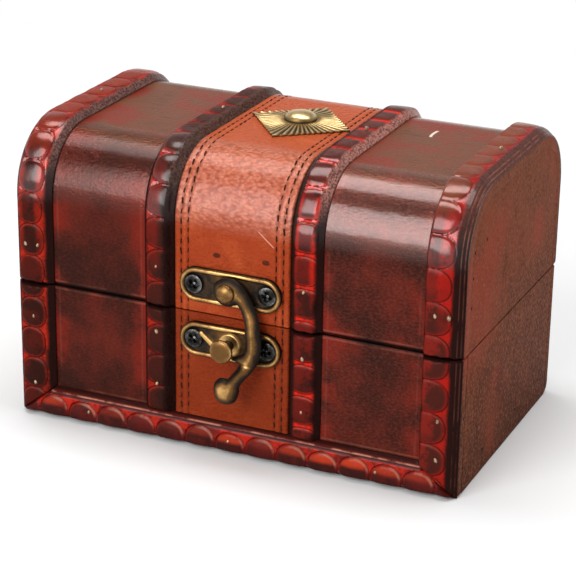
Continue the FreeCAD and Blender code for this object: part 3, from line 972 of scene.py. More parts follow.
@dataclass(frozen=True)
class BoardFinish(Finish):
    """Matte end boards and inner faces: brown with reddish streaks, fine speckles and pinholes."""

    brown: Colour = srgb(123, 66, 40)
    dark: Colour = srgb(66, 32, 19)
    red: Colour = srgb(146, 58, 38)
    pale: Colour = srgb(158, 106, 84)
    hole: Colour = srgb(18, 8, 5)
    pins: tuple[Pair, ...] = ((-31.0, 54.8), (-31.3, 47.5), (-33.3, 20.0), (-30.6, 61.0))
    rough: float = 0.62

    def colour(self, weave: Weave) -> tuple[Value, Value]:
        """The board's colour and the height of its grain.

        Args:
            weave: The material's tree.

        Returns:
            The colour and the height.
        """
        place = weave.place()
        _, back, up = (part / MM for part in weave.parts(place))
        streak = weave.noise(weave.mapped(place, (1.0, 1.0, 0.40), (24, 0, 0)), 150.0, 5.0, 0.65)
        cloud = weave.noise(weave.mapped(place, (1.0, 1.0, 0.70), (30, 0, 0)), 46.0, 3.0, 0.5)
        grain = weave.noise(weave.mapped(place, (1.0, 1.0, 0.8), (10, 0, 0)), 1500.0, 3.0, 0.7)
        tone = streak * 0.35 + grain * 1.1 + (0.5 - up / CHEST.top) * 0.2
        colour = weave.mix(self.brown, self.dark, tone.step(0.56, 0.96))
        flush = cloud * 0.8 + grain * 0.3 + abs(up - 52.0).step(26.0, 2.0) * 0.16 - 0.08
        colour = colour.mix(self.red, flush.step(0.51, 0.72) * 0.65)
        colour = colour.mix(self.pale, grain.step(0.46, 0.28) * 0.5)
        dots = weave.cells(place, 130.0).step(0.095, 0.05) * cloud.step(0.47, 0.53)
        for pin_back, pin_up in self.pins:
            dots = dots.high(((back - pin_back) ** 2.0 + (up - pin_up) ** 2.0).step(0.28, 0.10))
        return colour.mix(self.hole, dots), grain * 0.9 + streak * 0.3 - dots * 2.0

    def dress(self, weave: Weave) -> dict:
        """Fills the tree.

        Args:
            weave: The material's tree.

        Returns:
            The shader's sockets.
        """
        colour, height = self.colour(weave)
        return {
            "Base Color": colour,
            "Roughness": self.rough,
            "Normal": weave.bump(height, 0.36 * MM, 0.6),
            "Specular IOR Level": 0.04,
        }


@dataclass(frozen=True)
class PanelFinish(Finish):
    """Stained panels: blotchy maroon with hatched fibres, browner on the top, red at the worn borders, with
    painted highlights along the borders and a painted sheen on the rounding.
    """

    ends: BoardFinish
    dark: Colour = srgb(44, 16, 10)
    middle: Colour = srgb(88, 28, 18)
    red: Colour = srgb(114, 27, 16)
    # Pale flecks, and the painted sheen of the rounding.
    speck_and_sheen: Colour = srgb(142, 92, 80)
    top: Colour = srgb(105, 63, 41)
    top_red: Colour = srgb(122, 46, 32)
    line: Colour = srgb(16, 7, 5)
    pale: Colour = srgb(170, 116, 96)
    bare: Colour = srgb(222, 206, 194)
    chip: Pair = (33.3, 10.3)
    rough: float = 0.32

    @staticmethod
    def bordered(back: Value, up: Value) -> Value:
        """Where straps border the panels: neither inside nor on the plain back of the base.

        Args:
            back: Y in millimetres.
            up: Z in millimetres.

        Returns:
            The share, from 0 to 1.
        """
        radius = CHEST.corner_radius
        level = (abs(back) - CHEST.face + radius).high(0.0)
        rise = (up - CHEST.top + radius).high(0.0)
        outer = (radius - (level * level + rise * rise) ** 0.5).step(2.0, 0.8)
        return outer * (1 - back.step(0.0, 8.0) * up.step(CHEST.seam + 0.5, CHEST.seam - 0.5))

    def top_paint(self, weave: Weave, place: Value, hatch: Value) -> Value:
        """The browner top with its red patches and brushed dark streaks.

        Args:
            weave: The material's tree.
            place: The piece's coordinates.
            hatch: The fibres.

        Returns:
            The colour.
        """
        patch = weave.noise(weave.mapped(place, (0.8, 1.0, 1.0)), 85.0, 4.0, 0.65)
        brushed = weave.noise(weave.mapped(place, (0.22, 1.4, 1.0)), 520.0, 3.0, 0.6)
        colour = weave.mix(self.top, self.top_red, (patch + (hatch - 0.5) * 0.6).step(0.46, 0.62) * 0.95)
        return colour.mix(self.dark, (patch * 0.6 + brushed * 0.5).step(0.52, 0.36) * 0.45)

    def chipped(self, across: Value, back: Value) -> Value:
        """The small curved chip in the lacquer of the lid's top.

        Args:
            across: X in millimetres.
            back: Y in millimetres.

        Returns:
            The share, from 0 to 1.
        """
        beyond = back - self.chip[1]
        curve = across - self.chip[0] - beyond * beyond * 0.04
        return abs(curve).step(0.5, 0.2) * abs(beyond).step(3.0, 2.4)

    def dress(self, weave: Weave) -> dict:
        """Fills the tree.

        Args:
            weave: The material's tree.

        Returns:
            The shader's sockets.
        """
        place = weave.place()
        across, back, up = (part / MM for part in weave.parts(place))
        surface = weave.surface()
        cloud = weave.noise(place, 60.0, 4.0, 0.6)
        fleck = weave.noise(weave.mapped(surface, (0.35, 1.0, 1.0), (0, 0, 6)), 2.4, 3.0, 0.7)
        cross = weave.noise(weave.mapped(surface, (0.5, 1.0, 1.0), (0, 0, -48)), 2.2, 3.0, 0.7)
        dust = weave.noise(weave.mapped(surface, (0.6, 1.0, 1.0), (0, 0, 80)), 1.9, 3.0, 0.7)
        hatch = (fleck + cross) * 0.5
        right = across.step(-20.0, 20.0)
        aside = abs(across)
        border = (aside - CHEST.inner_strap[1]).low(CHEST.end_strap[0] - aside)
        to_seam = abs(up - CHEST.seam) + (cloud - 0.5) * 0.5
        near = border.low(to_seam + 0.4)
        outside = aside.step(CHEST.half_width - 0.5, CHEST.half_width - 0.2)
        round_part = rounding(weave) * (1 - outside)
        bordered = self.bordered(back, up)
        wear = near.step(7.0, 0.0) * cloud.step(0.38, 0.64) * (1 - 0.5 * round_part) * bordered
        tone = cloud * 1.15 + hatch * 0.65 - 0.40
        on_top = up.step(CHEST.top - 3.0, CHEST.top - 0.3)
        colour = weave.mix(self.dark, self.middle, tone.step(0.30, 0.74) * (0.84 + 0.16 * right))
        colour = colour.mix(self.top_paint(weave, place, hatch), on_top * 0.9)
        colour = colour.mix(self.red, (wear * 0.8 + (tone - 0.5) * 0.5).step(0.08, 0.9) * 0.85)
        colour = colour.mix(self.speck_and_sheen, dust.step(0.38, 0.80) * (0.08 + 0.09 * right))
        # Painted highlight: pale lines along the borders by the straps, beside the seam and at the foot over
        # the strip, not on the top.
        foot = (up - CHEST.strip_top - 0.55).band(0.0, 0.4) * back.step(0.0, -CHEST.face)
        rim = (border.band(1.25, 0.45) * 0.35 * bordered).high(to_seam.band(1.0, 0.4)).high(foot)
        colour = colour.mix(self.pale, rim * cloud.step(0.36, 0.58) * 0.2 * (1 - on_top))
        colour = colour.mix(self.bare, self.chipped(across, back) * on_top * 0.9)
        # Painted shade: a dark line in the gap at the seam, on the front and back faces.
        outer = abs(back).step(CHEST.face - 1.0, CHEST.face - 0.4)
        colour = colour.mix(self.line, to_seam.step(0.65, 0.4) * outer)
        colour = colour.mix(self.ends.colour(weave)[0], outside)
        pores = weave.noise(weave.mapped(surface, (0.7, 1.0, 1.0)), 1.6, 2.0, 0.5)
        height = hatch * 0.6 + pores * 0.8 + weave.noise(place, 1500.0, 3.0, 0.6) * 0.3
        # Painted sheen: the rounding turns paler, more so on the right panel, to tint its highlight.
        colour = colour.mix(self.speck_and_sheen, round_part * (0.08 + 0.10 * right))
        return {
            "Base Color": colour,
            "Metallic": round_part * 0.62,
            "Roughness": self.rough + (hatch - 0.5) * 0.4 + outside * 0.3 - round_part * 0.15,
            "Normal": weave.bump(height * (1 + 0.6 * round_part), 0.20 * MM, 0.6),
            "Specular IOR Level": 0.03,
            **lacquer(0.02 + round_part * (0.16 + 0.28 * right)),
        }


@dataclass(frozen=True)
class LeatherFinish(Finish):
    """Glossy tan leather with pebbled grain, darker stitch channels and a few marks of use, with painted
    light: a paler ridge, a lighter top and paler pebble tops on the rounding.
    """

    half_width: float
    rows: tuple[float, ...]
    tan: Colour = srgb(147, 55, 24)
    deep: Colour = srgb(92, 30, 11)
    light: Colour = srgb(178, 82, 42)
    dent: Colour = srgb(58, 26, 16)
    bare: Colour = srgb(206, 156, 138)
    dents: tuple[Pair, ...] = ()
    scratch: Pair | None = None

    def dress(self, weave: Weave) -> dict:
        """Fills the tree.

        Args:
            weave: The material's tree.

        Returns:
            The shader's sockets.
        """
        surface = weave.surface()
        across, along, _ = weave.parts(surface)
        cloud = weave.noise(surface, 0.10, 4.0, 0.6)
        fine = weave.noise(surface, 2.2, 3.0, 0.65)
        pore = weave.cells(weave.mapped(surface, (0.75, 1.2, 1.0)), 1.25, "SMOOTH_F1")
        inset = self.half_width - abs(across)
        channel = inset.band(self.rows[0], 0.42).high(inset.band(self.rows[1], 0.42))
        colour = weave.mix(self.tan, self.light, (cloud + (fine - 0.5) * 0.5).step(0.42, 0.70) * 0.6)
        colour = colour.mix(self.deep, fine.step(0.54, 0.76) * 0.30 + pore.step(0.45, 0.8) * 0.2)
        colour = colour.mix(self.deep, channel * 0.55 + inset.step(0.7, 0.0) * 0.5)
        # Painted highlight: the raised ridge between the stitch rows turns paler.
        ridge = inset.band(sum(self.rows) / 2, 0.4)
        colour = colour.mix(self.light, ridge * fine.step(0.4, 0.6) * 0.6)
        for dent_across, dent_along in self.dents:
            spread = ((across - dent_across) / 1.15) ** 2.0 + ((along - dent_along) / 0.75) ** 2.0
            colour = colour.mix(self.dent, (spread + (fine - 0.5)).step(1.1, 0.5) * 0.85)
        if self.scratch:
            aside, beyond = across - self.scratch[0], along - self.scratch[1]
            line = abs(aside * 0.65 + beyond * 0.76 + (cloud - 0.5)).step(0.22, 0.06)
            line = line * abs(aside * 0.76 - beyond * 0.65).step(2.9, 2.3)
            colour = colour.mix(self.bare, line * 0.7)
        # Painted light: the leather turns lighter on the lid's top.
        up = weave.parts(weave.place())[2] / MM
        colour = colour.mix(self.light, up.step(CHEST.top - 5.0, CHEST.top) * 0.6)
        # Painted highlight and shade: on the rounding the pebble tops turn paler and the hollows between them
        # darker.
        round_part = rounding(weave)
        colour = colour.mix(self.bare, round_part * (0.13 + 0.17 * pore.step(0.70, 0.08)))
        colour = colour.mix(self.deep, round_part * pore.step(0.40, 0.80) * 0.25)
        height = (1 - pore) * 0.9 + fine * 0.35
        return {
            "Base Color": colour,
            "Metallic": 0.37 * round_part,
            "Roughness": 0.34 + (fine - 0.5) * 0.25 + channel * 0.15,
            "Normal": weave.bump(height, 0.56 * MM, 0.7),
            "Specular IOR Level": 0.05,
            **lacquer(0.20 * round_part, 0.20),
        }


@dataclass(frozen=True)
class MetalFinish(Finish):
    """Aged metal: dark where it is sunk, bright where hands have rubbed it and where a glint is painted on
    the screw heads.
    """

    dark: Colour
    middle: Colour
    bright: Colour
    rough: float = 0.34
    dullness: float = 0.18

    def dress(self, weave: Weave) -> dict:
        """Fills the tree.

        Args:
            weave: The material's tree.

        Returns:
            The shader's sockets.
        """
        place = weave.place()
        cloud = weave.noise(place, 420.0, 4.0, 0.6)
        fine = weave.noise(place, 2600.0, 3.0, 0.6)
        rub_and_glint = weave.attribute("wear") + (cloud - 0.5) * 0.55 + (fine - 0.5) * 0.25
        colour = weave.mix(self.dark, self.middle, rub_and_glint.step(0.10, 0.52))
        colour = colour.mix(self.bright, rub_and_glint.step(0.52, 1.0))
        return {
            "Base Color": colour,
            "Metallic": 0.72 + 0.28 * rub_and_glint.step(0.15, 0.45),
            "Roughness": self.rough + self.dullness * (1 - rub_and_glint.step(0.25, 0.85)) + (fine - 0.5) * 0.12,
            "Normal": weave.bump(cloud * 0.5 + fine * 0.5, 0.05 * MM, 0.35),
        }


@dataclass(frozen=True)
class PlainFinish(Finish):
    """A finish for small pieces: two colours in a fine grain."""

    first: Colour
    second: Colour
    rough: float
    metal: float = 0.0
    specular: float = 0.5
    scale: float = 900.0

    def dress(self, weave: Weave) -> dict:
        """Fills the tree.

        Args:
            weave: The material's tree.

        Returns:
            The shader's sockets.
        """
        place = weave.place()
        grain = weave.noise(place, self.scale, 4.0, 0.65)
        return {
            "Base Color": weave.mix(self.first, self.second, grain.step(0.38, 0.64)),
            "Metallic": self.metal,
            "Roughness": self.rough + (grain - 0.5) * 0.25,
            "Normal": weave.bump(grain, 0.04 * MM, 0.4),
            "Specular IOR Level": self.specular,
        }


@dataclass(frozen=True)
class Strap:
    """An embossed strap moulding with a rounded section, in millimetres."""

    node: str
    finish: StrapFinish
    body: Body
    reeds: int = 0
    step: float = 0.36
    samples: int = 46
    seat: float = 0.02
    ragged: float = 0.12
    uneven: float = 0.05
    wave: float = 6.1
    worn_low: float = 0.7
    end_drop: float = 0.8
    end_run: float = 0.9
    full_height: float = 2.4
    reed_insets: tuple[float, ...] = (0.5, 1.3, 2.2)
    reed_width: float = 0.16
    reed_depth: float = 0.07

    def places(self, half: float) -> Array:
        """Places across the strap, even along the outline of its section.

        Args:
            half: Half the strap's width.

        Returns:
            The places.
        """
        fine = np.linspace(-half, half, 2001)
        heights = self.finish.section.height(fine, half)
        lengths = np.concatenate([[0.0], np.cumsum(np.hypot(np.diff(fine), np.diff(heights)))])
        return np.interp(np.linspace(0.0, lengths[-1], self.samples), lengths, fine)

    def boldness(self, along: Array) -> Array:
        """How far the scales stand out: fully on the front and worn low on the lid's top.

        Args:
            along: Distances along the strap.

        Returns:
            The share of the relief.
        """
        if self.body is not Body.LID:
            return np.ones_like(along)
        line = LidLine(self.finish.section.crown)
        near = np.minimum(along, line.length - along)
        return 1 - self.worn_low * held((near - line.rise) / line.bend * 4 - 2.6)

    def heights(self, along: Array, across: Array, half: float) -> Array:
        """The section with its scales, its fine reeds and its hand-made unevenness.

        Args:
            along: Distances along the strap.
            across: Places across the strap.
            half: Half the strap's width.

        Returns:
            The height at each place.
        """
        section = self.finish.section
        plain = section.height(across, half)
        on_top = held((plain - section.foot) / (section.crown - section.foot) * 2.5 - 1.3)
        inset = half - np.abs(across)
        relief = self.finish.scales.relief(along, across) * on_top * self.boldness(along)
        uneven = self.uneven * ripple(along, across, self.wave) * held(inset)
        lines = sum(bell(inset - place, self.reed_width) for place in self.reed_insets)
        return plain + relief + uneven - self.reed_depth * held(across * self.reeds) * lines

    def drop_ends(self, heights: Array, to_end: Array) -> Array:
        """Rounds heights off towards the strap's ends, given the distance to the nearer end."""
        near = held(1 - to_end / self.end_run) ** 2
        return heights - self.end_drop * near * held(heights / self.full_height)

    def build(self, material: Material) -> None:
        """Makes the strap on the lid's line or on the front of the box.

        Args:
            material: The material.
        """
        low, high = node_box(self.node)
        half = (high[0] - low[0]) / 2
        middle = (high[0] + low[0]) / 2
        across = self.places(half)
        line = carrier(self.body, self.finish.section.crown)
        ragged = self.ragged + self.ragged * np.sin(across * 2.1 + middle)
        if self.body is Body.LID:
            start, stop = ragged, line.length - ragged
        else:
            start = np.full_like(across, low[2])
            stop = high[2] - ragged
            if low[2] < CHEST.strip_top / 2:
                outward = np.sign(middle) * across / (2 * half) + 0.5
                start = CHEST.strip_top * (1.0 - outward)
        rows = int((stop.max() - start.min()) / self.step) + 1
        along = start + np.linspace(0.0, 1.0, rows)[:, None] * (stop - start)
        sides = np.broadcast_to(across, along.shape)
        heights = self.drop_ends(self.heights(along, sides, half), np.minimum(stop - along, along - start))
        form = strip_form(line, along, sides, heights, self.seat, middle)
        form.piece(f"{self.node}_moulding", material, Home(self.body, Slot.STRAP, (self.node,)))


@dataclass(frozen=True)
class BottomStrip:
    """The embossed strip along the foot of the front, mitred at both ends, in millimetres."""

    finish: StrapFinish
    node: str = "bottom_strip"
    ledge: float = 1.5
    ledge_depth: float = 0.34
    ledge_width: float = 0.3
    samples: int = 42

    def build(self, material: Material) -> None:
        """Makes the strip.

        Args:
            material: The material.
        """
        low, high = node_box(self.node)
        half = (high[2] - low[2]) / 2
        shape = Strap(self.node, self.finish, Body.BASE, samples=self.samples)
        across = shape.places(half)
        slant = CHEST.half_width - CHEST.end_strap[0]
        reach = high[0] - slant * (across + half) / (2 * half)
        rows = int(2 * reach.max() / shape.step) + 1
        along = np.linspace(-1.0, 1.0, rows)[:, None] * reach
        sides = np.broadcast_to(across, along.shape)
        heights = shape.heights(along + CHEST.half_width, sides, half)
        heights -= self.ledge_depth * bell(half - sides - self.ledge, self.ledge_width)
        heights = shape.drop_ends(heights, reach - np.abs(along))
        out = np.concatenate([heights, np.full((rows, 2), shape.seat)], axis=1)
        run, wide = below(along), below(sides)
        points = np.stack([run, -CHEST.face - out, wide + half + low[2]], axis=-1).reshape(-1, 3)
        surface = np.stack([run + CHEST.half_width, wide], axis=-1).reshape(-1, 2)
        form = Form(points, grid_faces(rows, out.shape[1]), surface)
        form.piece(f"{self.node}_moulding", material, Home(Body.BASE, Slot.STRAP, (self.node,)))


@dataclass(frozen=True)
class Boards:
    """The plain boards of the box and the lid, with softened corners, in millimetres."""

    softness: float = 0.45
    end_softness: float = 0.05
    foot_radius: float = 2.6
    panel: float = 3.0
    skin_step: float = 0.45
    flat_step: float = 1.3
    skin_foot: float = 0.27
    skin_sink: float = 0.020
    fine_hills: float = 0.010
    fine_pitch: Pair = (0.8, 1.3)
    broad_hills: float = 0.008
    broad_pitch: Pair = (3.1, 8.0)

    def build(self, panels: Material, ends: Material) -> None:
        """Makes every board.

        Args:
            panels: The material of the panels and the lid's skin.
            ends: The material of the end boards.
        """
        self.front_or_back("base_front_panel", -1.0, panels)
        self.front_or_back("base_back_panel", 1.0, panels)
        self.skin(panels)
        square = self.outline("base_right_end", self.end_softness, 5)
        bent = self.outline("lid_right_end", CHEST.corner_radius - self.panel, 14)
        for side in ("left", "right"):
            self.end_board(f"base_{side}_end", Body.BASE, square, ends)
            self.end_board(f"lid_{side}_end", Body.LID, bent, ends)

    def front_or_back(self, node: str, side: float, material: Material) -> None:
        """Makes a panel as a sweep of its section, which is rounded at the foot of the back.

        Args:
            node: The CAD node.
            side: -1 for the front and 1 for the back.
            material: The material.
        """
        low, high = node_box(node)
        inner, outer = sorted((abs(low[1]), abs(high[1])))
        foot = self.foot_radius if side > 0 else self.softness
        soft = self.softness
        corners = [(inner, low[2]), (outer, low[2]), (outer, high[2]), (inner, high[2])]
        section = rounded(corners, [soft, foot, soft, soft]) * [side, 1.0]
        centre = section.mean(axis=0)
        span = np.abs(section - centre).max(axis=0)
        form = self.sweep(section, centre, span, self.softened_run(high[0], soft))
        form.surface = form.points[:, [0, 2]]
        form.piece(f"{node}_board", material, Home(Body.BASE, Slot.WOOD, (node,)))

    def end_board(self, node: str, body: Body, outline: Array, material: Material) -> None:
        """Makes an end board from its outline.

        Args:
            node: The CAD node.
            body: Its body.
            outline: Points as Y and Z.
            material: The material.
        """
        low, high = node_box(node)
        centre = (outline.max(axis=0) + outline.min(axis=0)) / 2
        span = (outline.max(axis=0) - outline.min(axis=0)) / 2
        run = self.softened_run((high[0] - low[0]) / 2, self.end_softness)
        form = self.sweep(outline, centre, span, run)
        form.points[:, 0] += (low[0] + high[0]) / 2
        form.piece(f"{node}_board", material, Home(body, Slot.WOOD, (node,)))

    @staticmethod
    def sweep(section: Array, centre: Array, span: Array, run: Run) -> Form:
        """A board from a section that runs from side to side.

        Args:
            section: Points as Y and Z.
            centre: The point towards which the section draws in.
            span: Its half width and half height.
            run: Places from side to side with how far the section draws in there.

        Returns:
            The form.
        """
        rings = []
        for across, inset in run:
            drawn_in = centre + (section - centre) * (1 - inset / span)
            rings.append(np.column_stack([np.full(len(section), across), drawn_in]))
        return Form(np.concatenate(rings), grid_faces(len(rings), len(section)))

    @staticmethod
    def softened_run(half: float, soft: float) -> Run:
        """Where a section with softened ends stands from side to side.

        Args:
            half: Half the board's width.
            soft: The radius of its ends.

        Returns:
            Places from side to side with how far the section draws in there.
        """
        angles = np.linspace(0.0, math.pi / 2, 4)
        left = [(-half + soft * (1 - math.sin(a)), soft * (1 - math.cos(a))) for a in angles[::-1]]
        return left + [(-across, inset) for across, inset in left[::-1]]

    def skin(self, material: Material) -> None:
        """Makes the lid's bent skin, whose outer face has the faint unevenness of brushed lacquer.

        Args:
            material: The material.
        """
        line = LidLine()
        half = CHEST.half_width
        corner = line.rise + np.arange(0.0, line.bend, self.skin_step)
        flats = np.linspace(0.0, line.length, int(line.length / self.flat_step) + 1)
        outer = np.unique(np.round(np.concatenate([flats, corner, line.length - corner]), 3))
        inner = np.linspace(line.length, 0.0, int(line.length / self.panel) + 1)
        points, normals = line.at(outer)
        hidden, hidden_normals = line.at(inner)
        foot = self.skin_foot * held(1 - np.minimum(outer, line.length - outer) / self.softness) ** 2
        ends = self.softened_run(half, self.end_softness)
        between = np.linspace(-half, half, int(2 * half / self.skin_step))[1:-1]
        run = ends[:len(ends) // 2] + [(place, 0.0) for place in between] + ends[len(ends) // 2:]
        rings = []
        for across, inset in run:
            fine = lattice(outer, np.float64(across), self.fine_pitch, 3)
            broad = lattice(outer, np.float64(across), self.broad_pitch, 4)
            sunk = inset + foot + self.skin_sink + self.fine_hills * fine + self.broad_hills * broad
            outside = points - normals * sunk[:, None]
            inside = hidden - hidden_normals * (self.panel - inset * 0.5)
            ring = np.concatenate([outside, inside])
            rings.append(np.column_stack([np.full(len(ring), across), ring]))
        grid = np.concatenate(rings)
        surface = np.column_stack([grid[:, 0], np.tile(np.concatenate([outer, inner]), len(rings))])
        home = Home(Body.LID, Slot.WOOD, ("lid_skin",))
        Form(grid, grid_faces(len(rings), len(rings[0])), surface).piece("lid_skin_sheet", material, home)

    def outline(self, node: str, upper: float, steps: int) -> Array:
        """An end board's outline as Y and Z.

        Args:
            node: The CAD node.
            upper: The radius of the two upper corners.
            steps: Points on each rounding.

        Returns:
            The outline's points.
        """
        low, high = node_box(node)
        corners = [(low[1], low[2]), (high[1], low[2]), (high[1], high[2]), (low[1], high[2])]
        return rounded(corners, [self.end_softness, self.end_softness, upper, upper], steps)


def rounded(corners: Sequence[Pair], radii: Sequence[float], steps: int = 5) -> Array:
    """A closed outline with rounded corners.

    Args:
        corners: The corners in order.
        radii: The radius at each corner.
        steps: Points on each rounding.

    Returns:
        The outline's points.
    """
    points = []
    count = len(corners)
    for number, radius in enumerate(radii):
        here = np.array(corners[number], float)
        before = np.array(corners[number - 1], float) - here
        after = np.array(corners[(number + 1) % count], float) - here
        before /= np.linalg.norm(before)
        after /= np.linalg.norm(after)
        centre = here + (before + after) * radius
        for share in np.linspace(0.0, math.pi / 2, steps):
            points.append(centre - after * radius * math.cos(share) - before * radius * math.sin(share))
    return np.array(points)


@dataclass(frozen=True)
class LeatherBand:
    """A leather band with two channels of stitches along each edge, in millimetres."""

    node: str
    body: Body
    rows: Pair = (1.8, 3.7)
    thickness: float = 0.8
    seat: float = 0.05
    edge: float = 0.25
    edge_run: float = 0.6
    channel: float = 0.16
    channel_width: float = 0.34
    ridge: float = 0.05
    ridge_width: float = 0.5
    wave: float = 0.03
    wave_length: float = 9.0
    grain: float = 0.012
    grain_pitch: Pair = (0.70, 0.85)
    pebble_pitch: Pair = (1.4, 1.7)
    step: float = 0.32
    pitch: float = 2.55
    stitch_lift: float = 0.06

    @property
    def half(self) -> float:
        """Half the band's width."""
        low, high = node_box(self.node)
        return float(high[0] - low[0]) / 2

    def ends(self) -> Pair:
        """Where the band starts and stops along its line."""
        low, high = (corner[2] for corner in node_box(self.node))
        return (0.0, LidLine(self.thickness).length) if self.body is Body.LID else (low, high)

    def heights(self, along: Array, across: Array) -> Array:
        """The height of the band's upper face.

        Args:
            along: Distances along the band.
            across: Distances from the band's middle.

        Returns:
            The height at each place.
        """
        inset = self.half - np.abs(across)
        edge = np.sqrt(held(1 - (1 - held(inset / self.edge_run)) ** 2))
        sunk = sum(bell(inset - row, self.channel_width) for row in self.rows)
        ridge = bell(inset - sum(self.rows) / 2, self.ridge_width)
        grain = lattice(along, across, self.grain_pitch, 11)
        grain = grain + 0.3 * lattice(along, across, self.pebble_pitch, 12)
        uneven = self.wave * ripple(along, across, self.wave_length)
        uneven = uneven + self.grain * grain * held(1 - 1.3 * sunk)
        face = self.edge + (self.thickness - self.edge) * edge
        return face - self.channel * sunk + self.ridge * ridge + uneven * edge

    def build(self, material: Material) -> None:
        """Makes the band.

        Args:
            material: The material.
        """
        half = self.half
        rim = half - self.edge_run * (1 - np.sin(np.linspace(0.0, math.pi / 2, 5)))
        across = np.concatenate([np.arange(-half + 0.8, half - 0.7, self.step), rim, -rim])
        channels = (half - np.array(self.rows)[:, None] + np.linspace(-0.5, 0.5, 5)).ravel()
        across = np.unique(np.round(np.concatenate([across, channels, -channels]), 3))
        start, stop = self.ends()
        rows = int((stop - start) / self.step) + 1
        along = np.broadcast_to(np.linspace(start, stop, rows)[:, None], (rows, len(across)))
        sides = np.broadcast_to(across, along.shape)
        line = carrier(self.body, self.thickness)
        form = strip_form(line, along, sides, self.seat + self.heights(along, sides), self.seat)
        form.surface = form.surface[:, ::-1]
        form.piece(f"{self.node}_hide", material, Home(self.body, Slot.LEATHER, (self.node,)))

    def stitches(self) -> Spots:
        """Where the stitches lie.

        Returns:
            Points, outward directions and directions along the rows.
        """
        line = carrier(self.body, self.thickness)
        start, stop = self.ends()
        points, outwards, forwards = [], [], []
        for number, row in enumerate((*self.rows, *(-row for row in self.rows))):
            along = np.arange(start + self.pitch * (0.45 + 0.21 * number), stop - 0.9, self.pitch)
            spots, normals = line.at(along)
            spots = spots + normals * (self.seat + self.thickness - self.channel + self.stitch_lift)
            column = np.full((len(along), 1), math.copysign(self.half - abs(row), row))
            points.append(np.hstack([column, spots]))
            outwards.append(np.hstack([column * 0.0, normals]))
            forwards.append(np.hstack([column * 0.0, normals[:, [1]], -normals[:, [0]]]))
        return tuple(np.concatenate(rows) for rows in (points, outwards, forwards))


class Repeat:
    """Sets copies of one small shape on points by a node tree."""

    seed: int = 7

    def __init__(self, name: str) -> None:
        """Builds the tree with its named inputs.

        Args:
            name: The tree's name.
        """
        self.tree = bpy.data.node_groups.new(name, "GeometryNodeTree")
        self.inputs = {}
        for title, kind in (("Geometry", "Geometry"), ("Shape", "Object"), ("Finish", "Material"),
                            ("Size", "Float"), ("Size spread", "Float"), ("Turn spread", "Float"),
                            ("Seed", "Int")):
            socket = self.tree.interface.new_socket(title, in_out="INPUT", socket_type=f"NodeSocket{kind}")
            self.inputs[title] = socket.identifier
        self.tree.interface.new_socket("Geometry", in_out="OUTPUT", socket_type="NodeSocketGeometry")
        self.link()

    def link(self) -> None:
        """Adds the nodes: points, turned and sized copies, realized and given their finish."""
        weave = Weave(self.tree)
        source = weave.add("NodeGroupInput")
        given = {socket.name: socket for socket in source.outputs}
        points = weave.add("GeometryNodeMeshToPoints", sockets={"Mesh": given["Geometry"]})
        shape = weave.add("GeometryNodeObjectInfo", sockets={"Object": given["Shape"]})
        axes = {}
        for axis, mark in (("Primary Axis", "outward"), ("Secondary Axis", "forward")):
            settings = {"data_type": "FLOAT_VECTOR"}
            reader = weave.add("GeometryNodeInputNamedAttribute", settings, {"Name": mark})
            axes[axis] = reader.outputs[0]
        facing = weave.add("FunctionNodeAxesToRotation", {"primary_axis": "Z", "secondary_axis": "X"}, axes)
        titles = ("Size", "Size spread", "Turn spread")
        size, size_spread, most = (Value(weave, given[title]) for title in titles)
        turn, sizes = (weave.add("FunctionNodeRandomValue", {"data_type": "FLOAT"},
                                 {2: low, 3: high, "Seed": given["Seed"]})
                       for low, high in ((most * -1.0, most), (size - size_spread, size)))
        spin = weave.add("FunctionNodeAxisAngleToRotation",
                         sockets={"Axis": (0.0, 0.0, 1.0), "Angle": turn.outputs[1]})
        turned = weave.add("FunctionNodeRotateRotation", {"rotation_space": "LOCAL"},
                           {"Rotation": facing.outputs[0], "Rotate By": spin.outputs[0]})
        copies = weave.add("GeometryNodeInstanceOnPoints", sockets={
            "Points": points.outputs[0], "Instance": shape.outputs["Geometry"],
            "Rotation": turned.outputs[0], "Scale": sizes.outputs[1]})
        real = weave.add("GeometryNodeRealizeInstances", sockets={"Geometry": copies.outputs[0]})
        painted = weave.add("GeometryNodeSetMaterial",
                            sockets={"Geometry": real.outputs[0], "Material": given["Finish"]})
        weave.add("NodeGroupOutput", sockets={0: painted.outputs[0]})

    def make(self, name: str, spots: Spots, shape: Form, material: Material, home: Home,
             spread: Pair) -> None:
        """Makes one piece from all the copies.

        Args:
            name: The piece's name.
            spots: Points, outward directions and forward directions.
            shape: The shape that is copied, with its outward side along Z.
            material: The material.
            home: Where the piece belongs.
            spread: How much size and turn differ.
        """
        points, outwards, forwards = spots
        mesh = bpy.data.meshes.new(name)
        mesh.from_pydata((points * MM).tolist(), [], [])
        for mark, vectors in (("outward", outwards), ("forward", forwards)):
            attribute = mesh.attributes.new(mark, "FLOAT_VECTOR", "POINT")
            attribute.data.foreach_set("vector", np.asarray(vectors, np.float32).ravel())
        template = bpy.data.objects.new(f"{name}_shape", shape.mesh(f"{name}_shape"))
        piece = bpy.data.objects.new(name, mesh)
        for made in (template, piece):
            bpy.context.scene.collection.objects.link(made)
        modifier = piece.modifiers.new("repeat", "NODES")
        modifier.node_group = self.tree
        settings = {"Shape": template, "Finish": material, "Size": 1.0, "Size spread": spread[0],
                    "Turn spread": spread[1], "Seed": self.seed}
        for title, setting in settings.items():
            modifier[self.inputs[title]] = setting
        graph = bpy.context.evaluated_depsgraph_get()
        piece.data = bpy.data.meshes.new_from_object(piece.evaluated_get(graph))
        piece.modifiers.clear()
        piece.data.name = name
        bpy.data.objects.remove(template)
        bpy.data.meshes.remove(mesh)
        settle(piece, home)


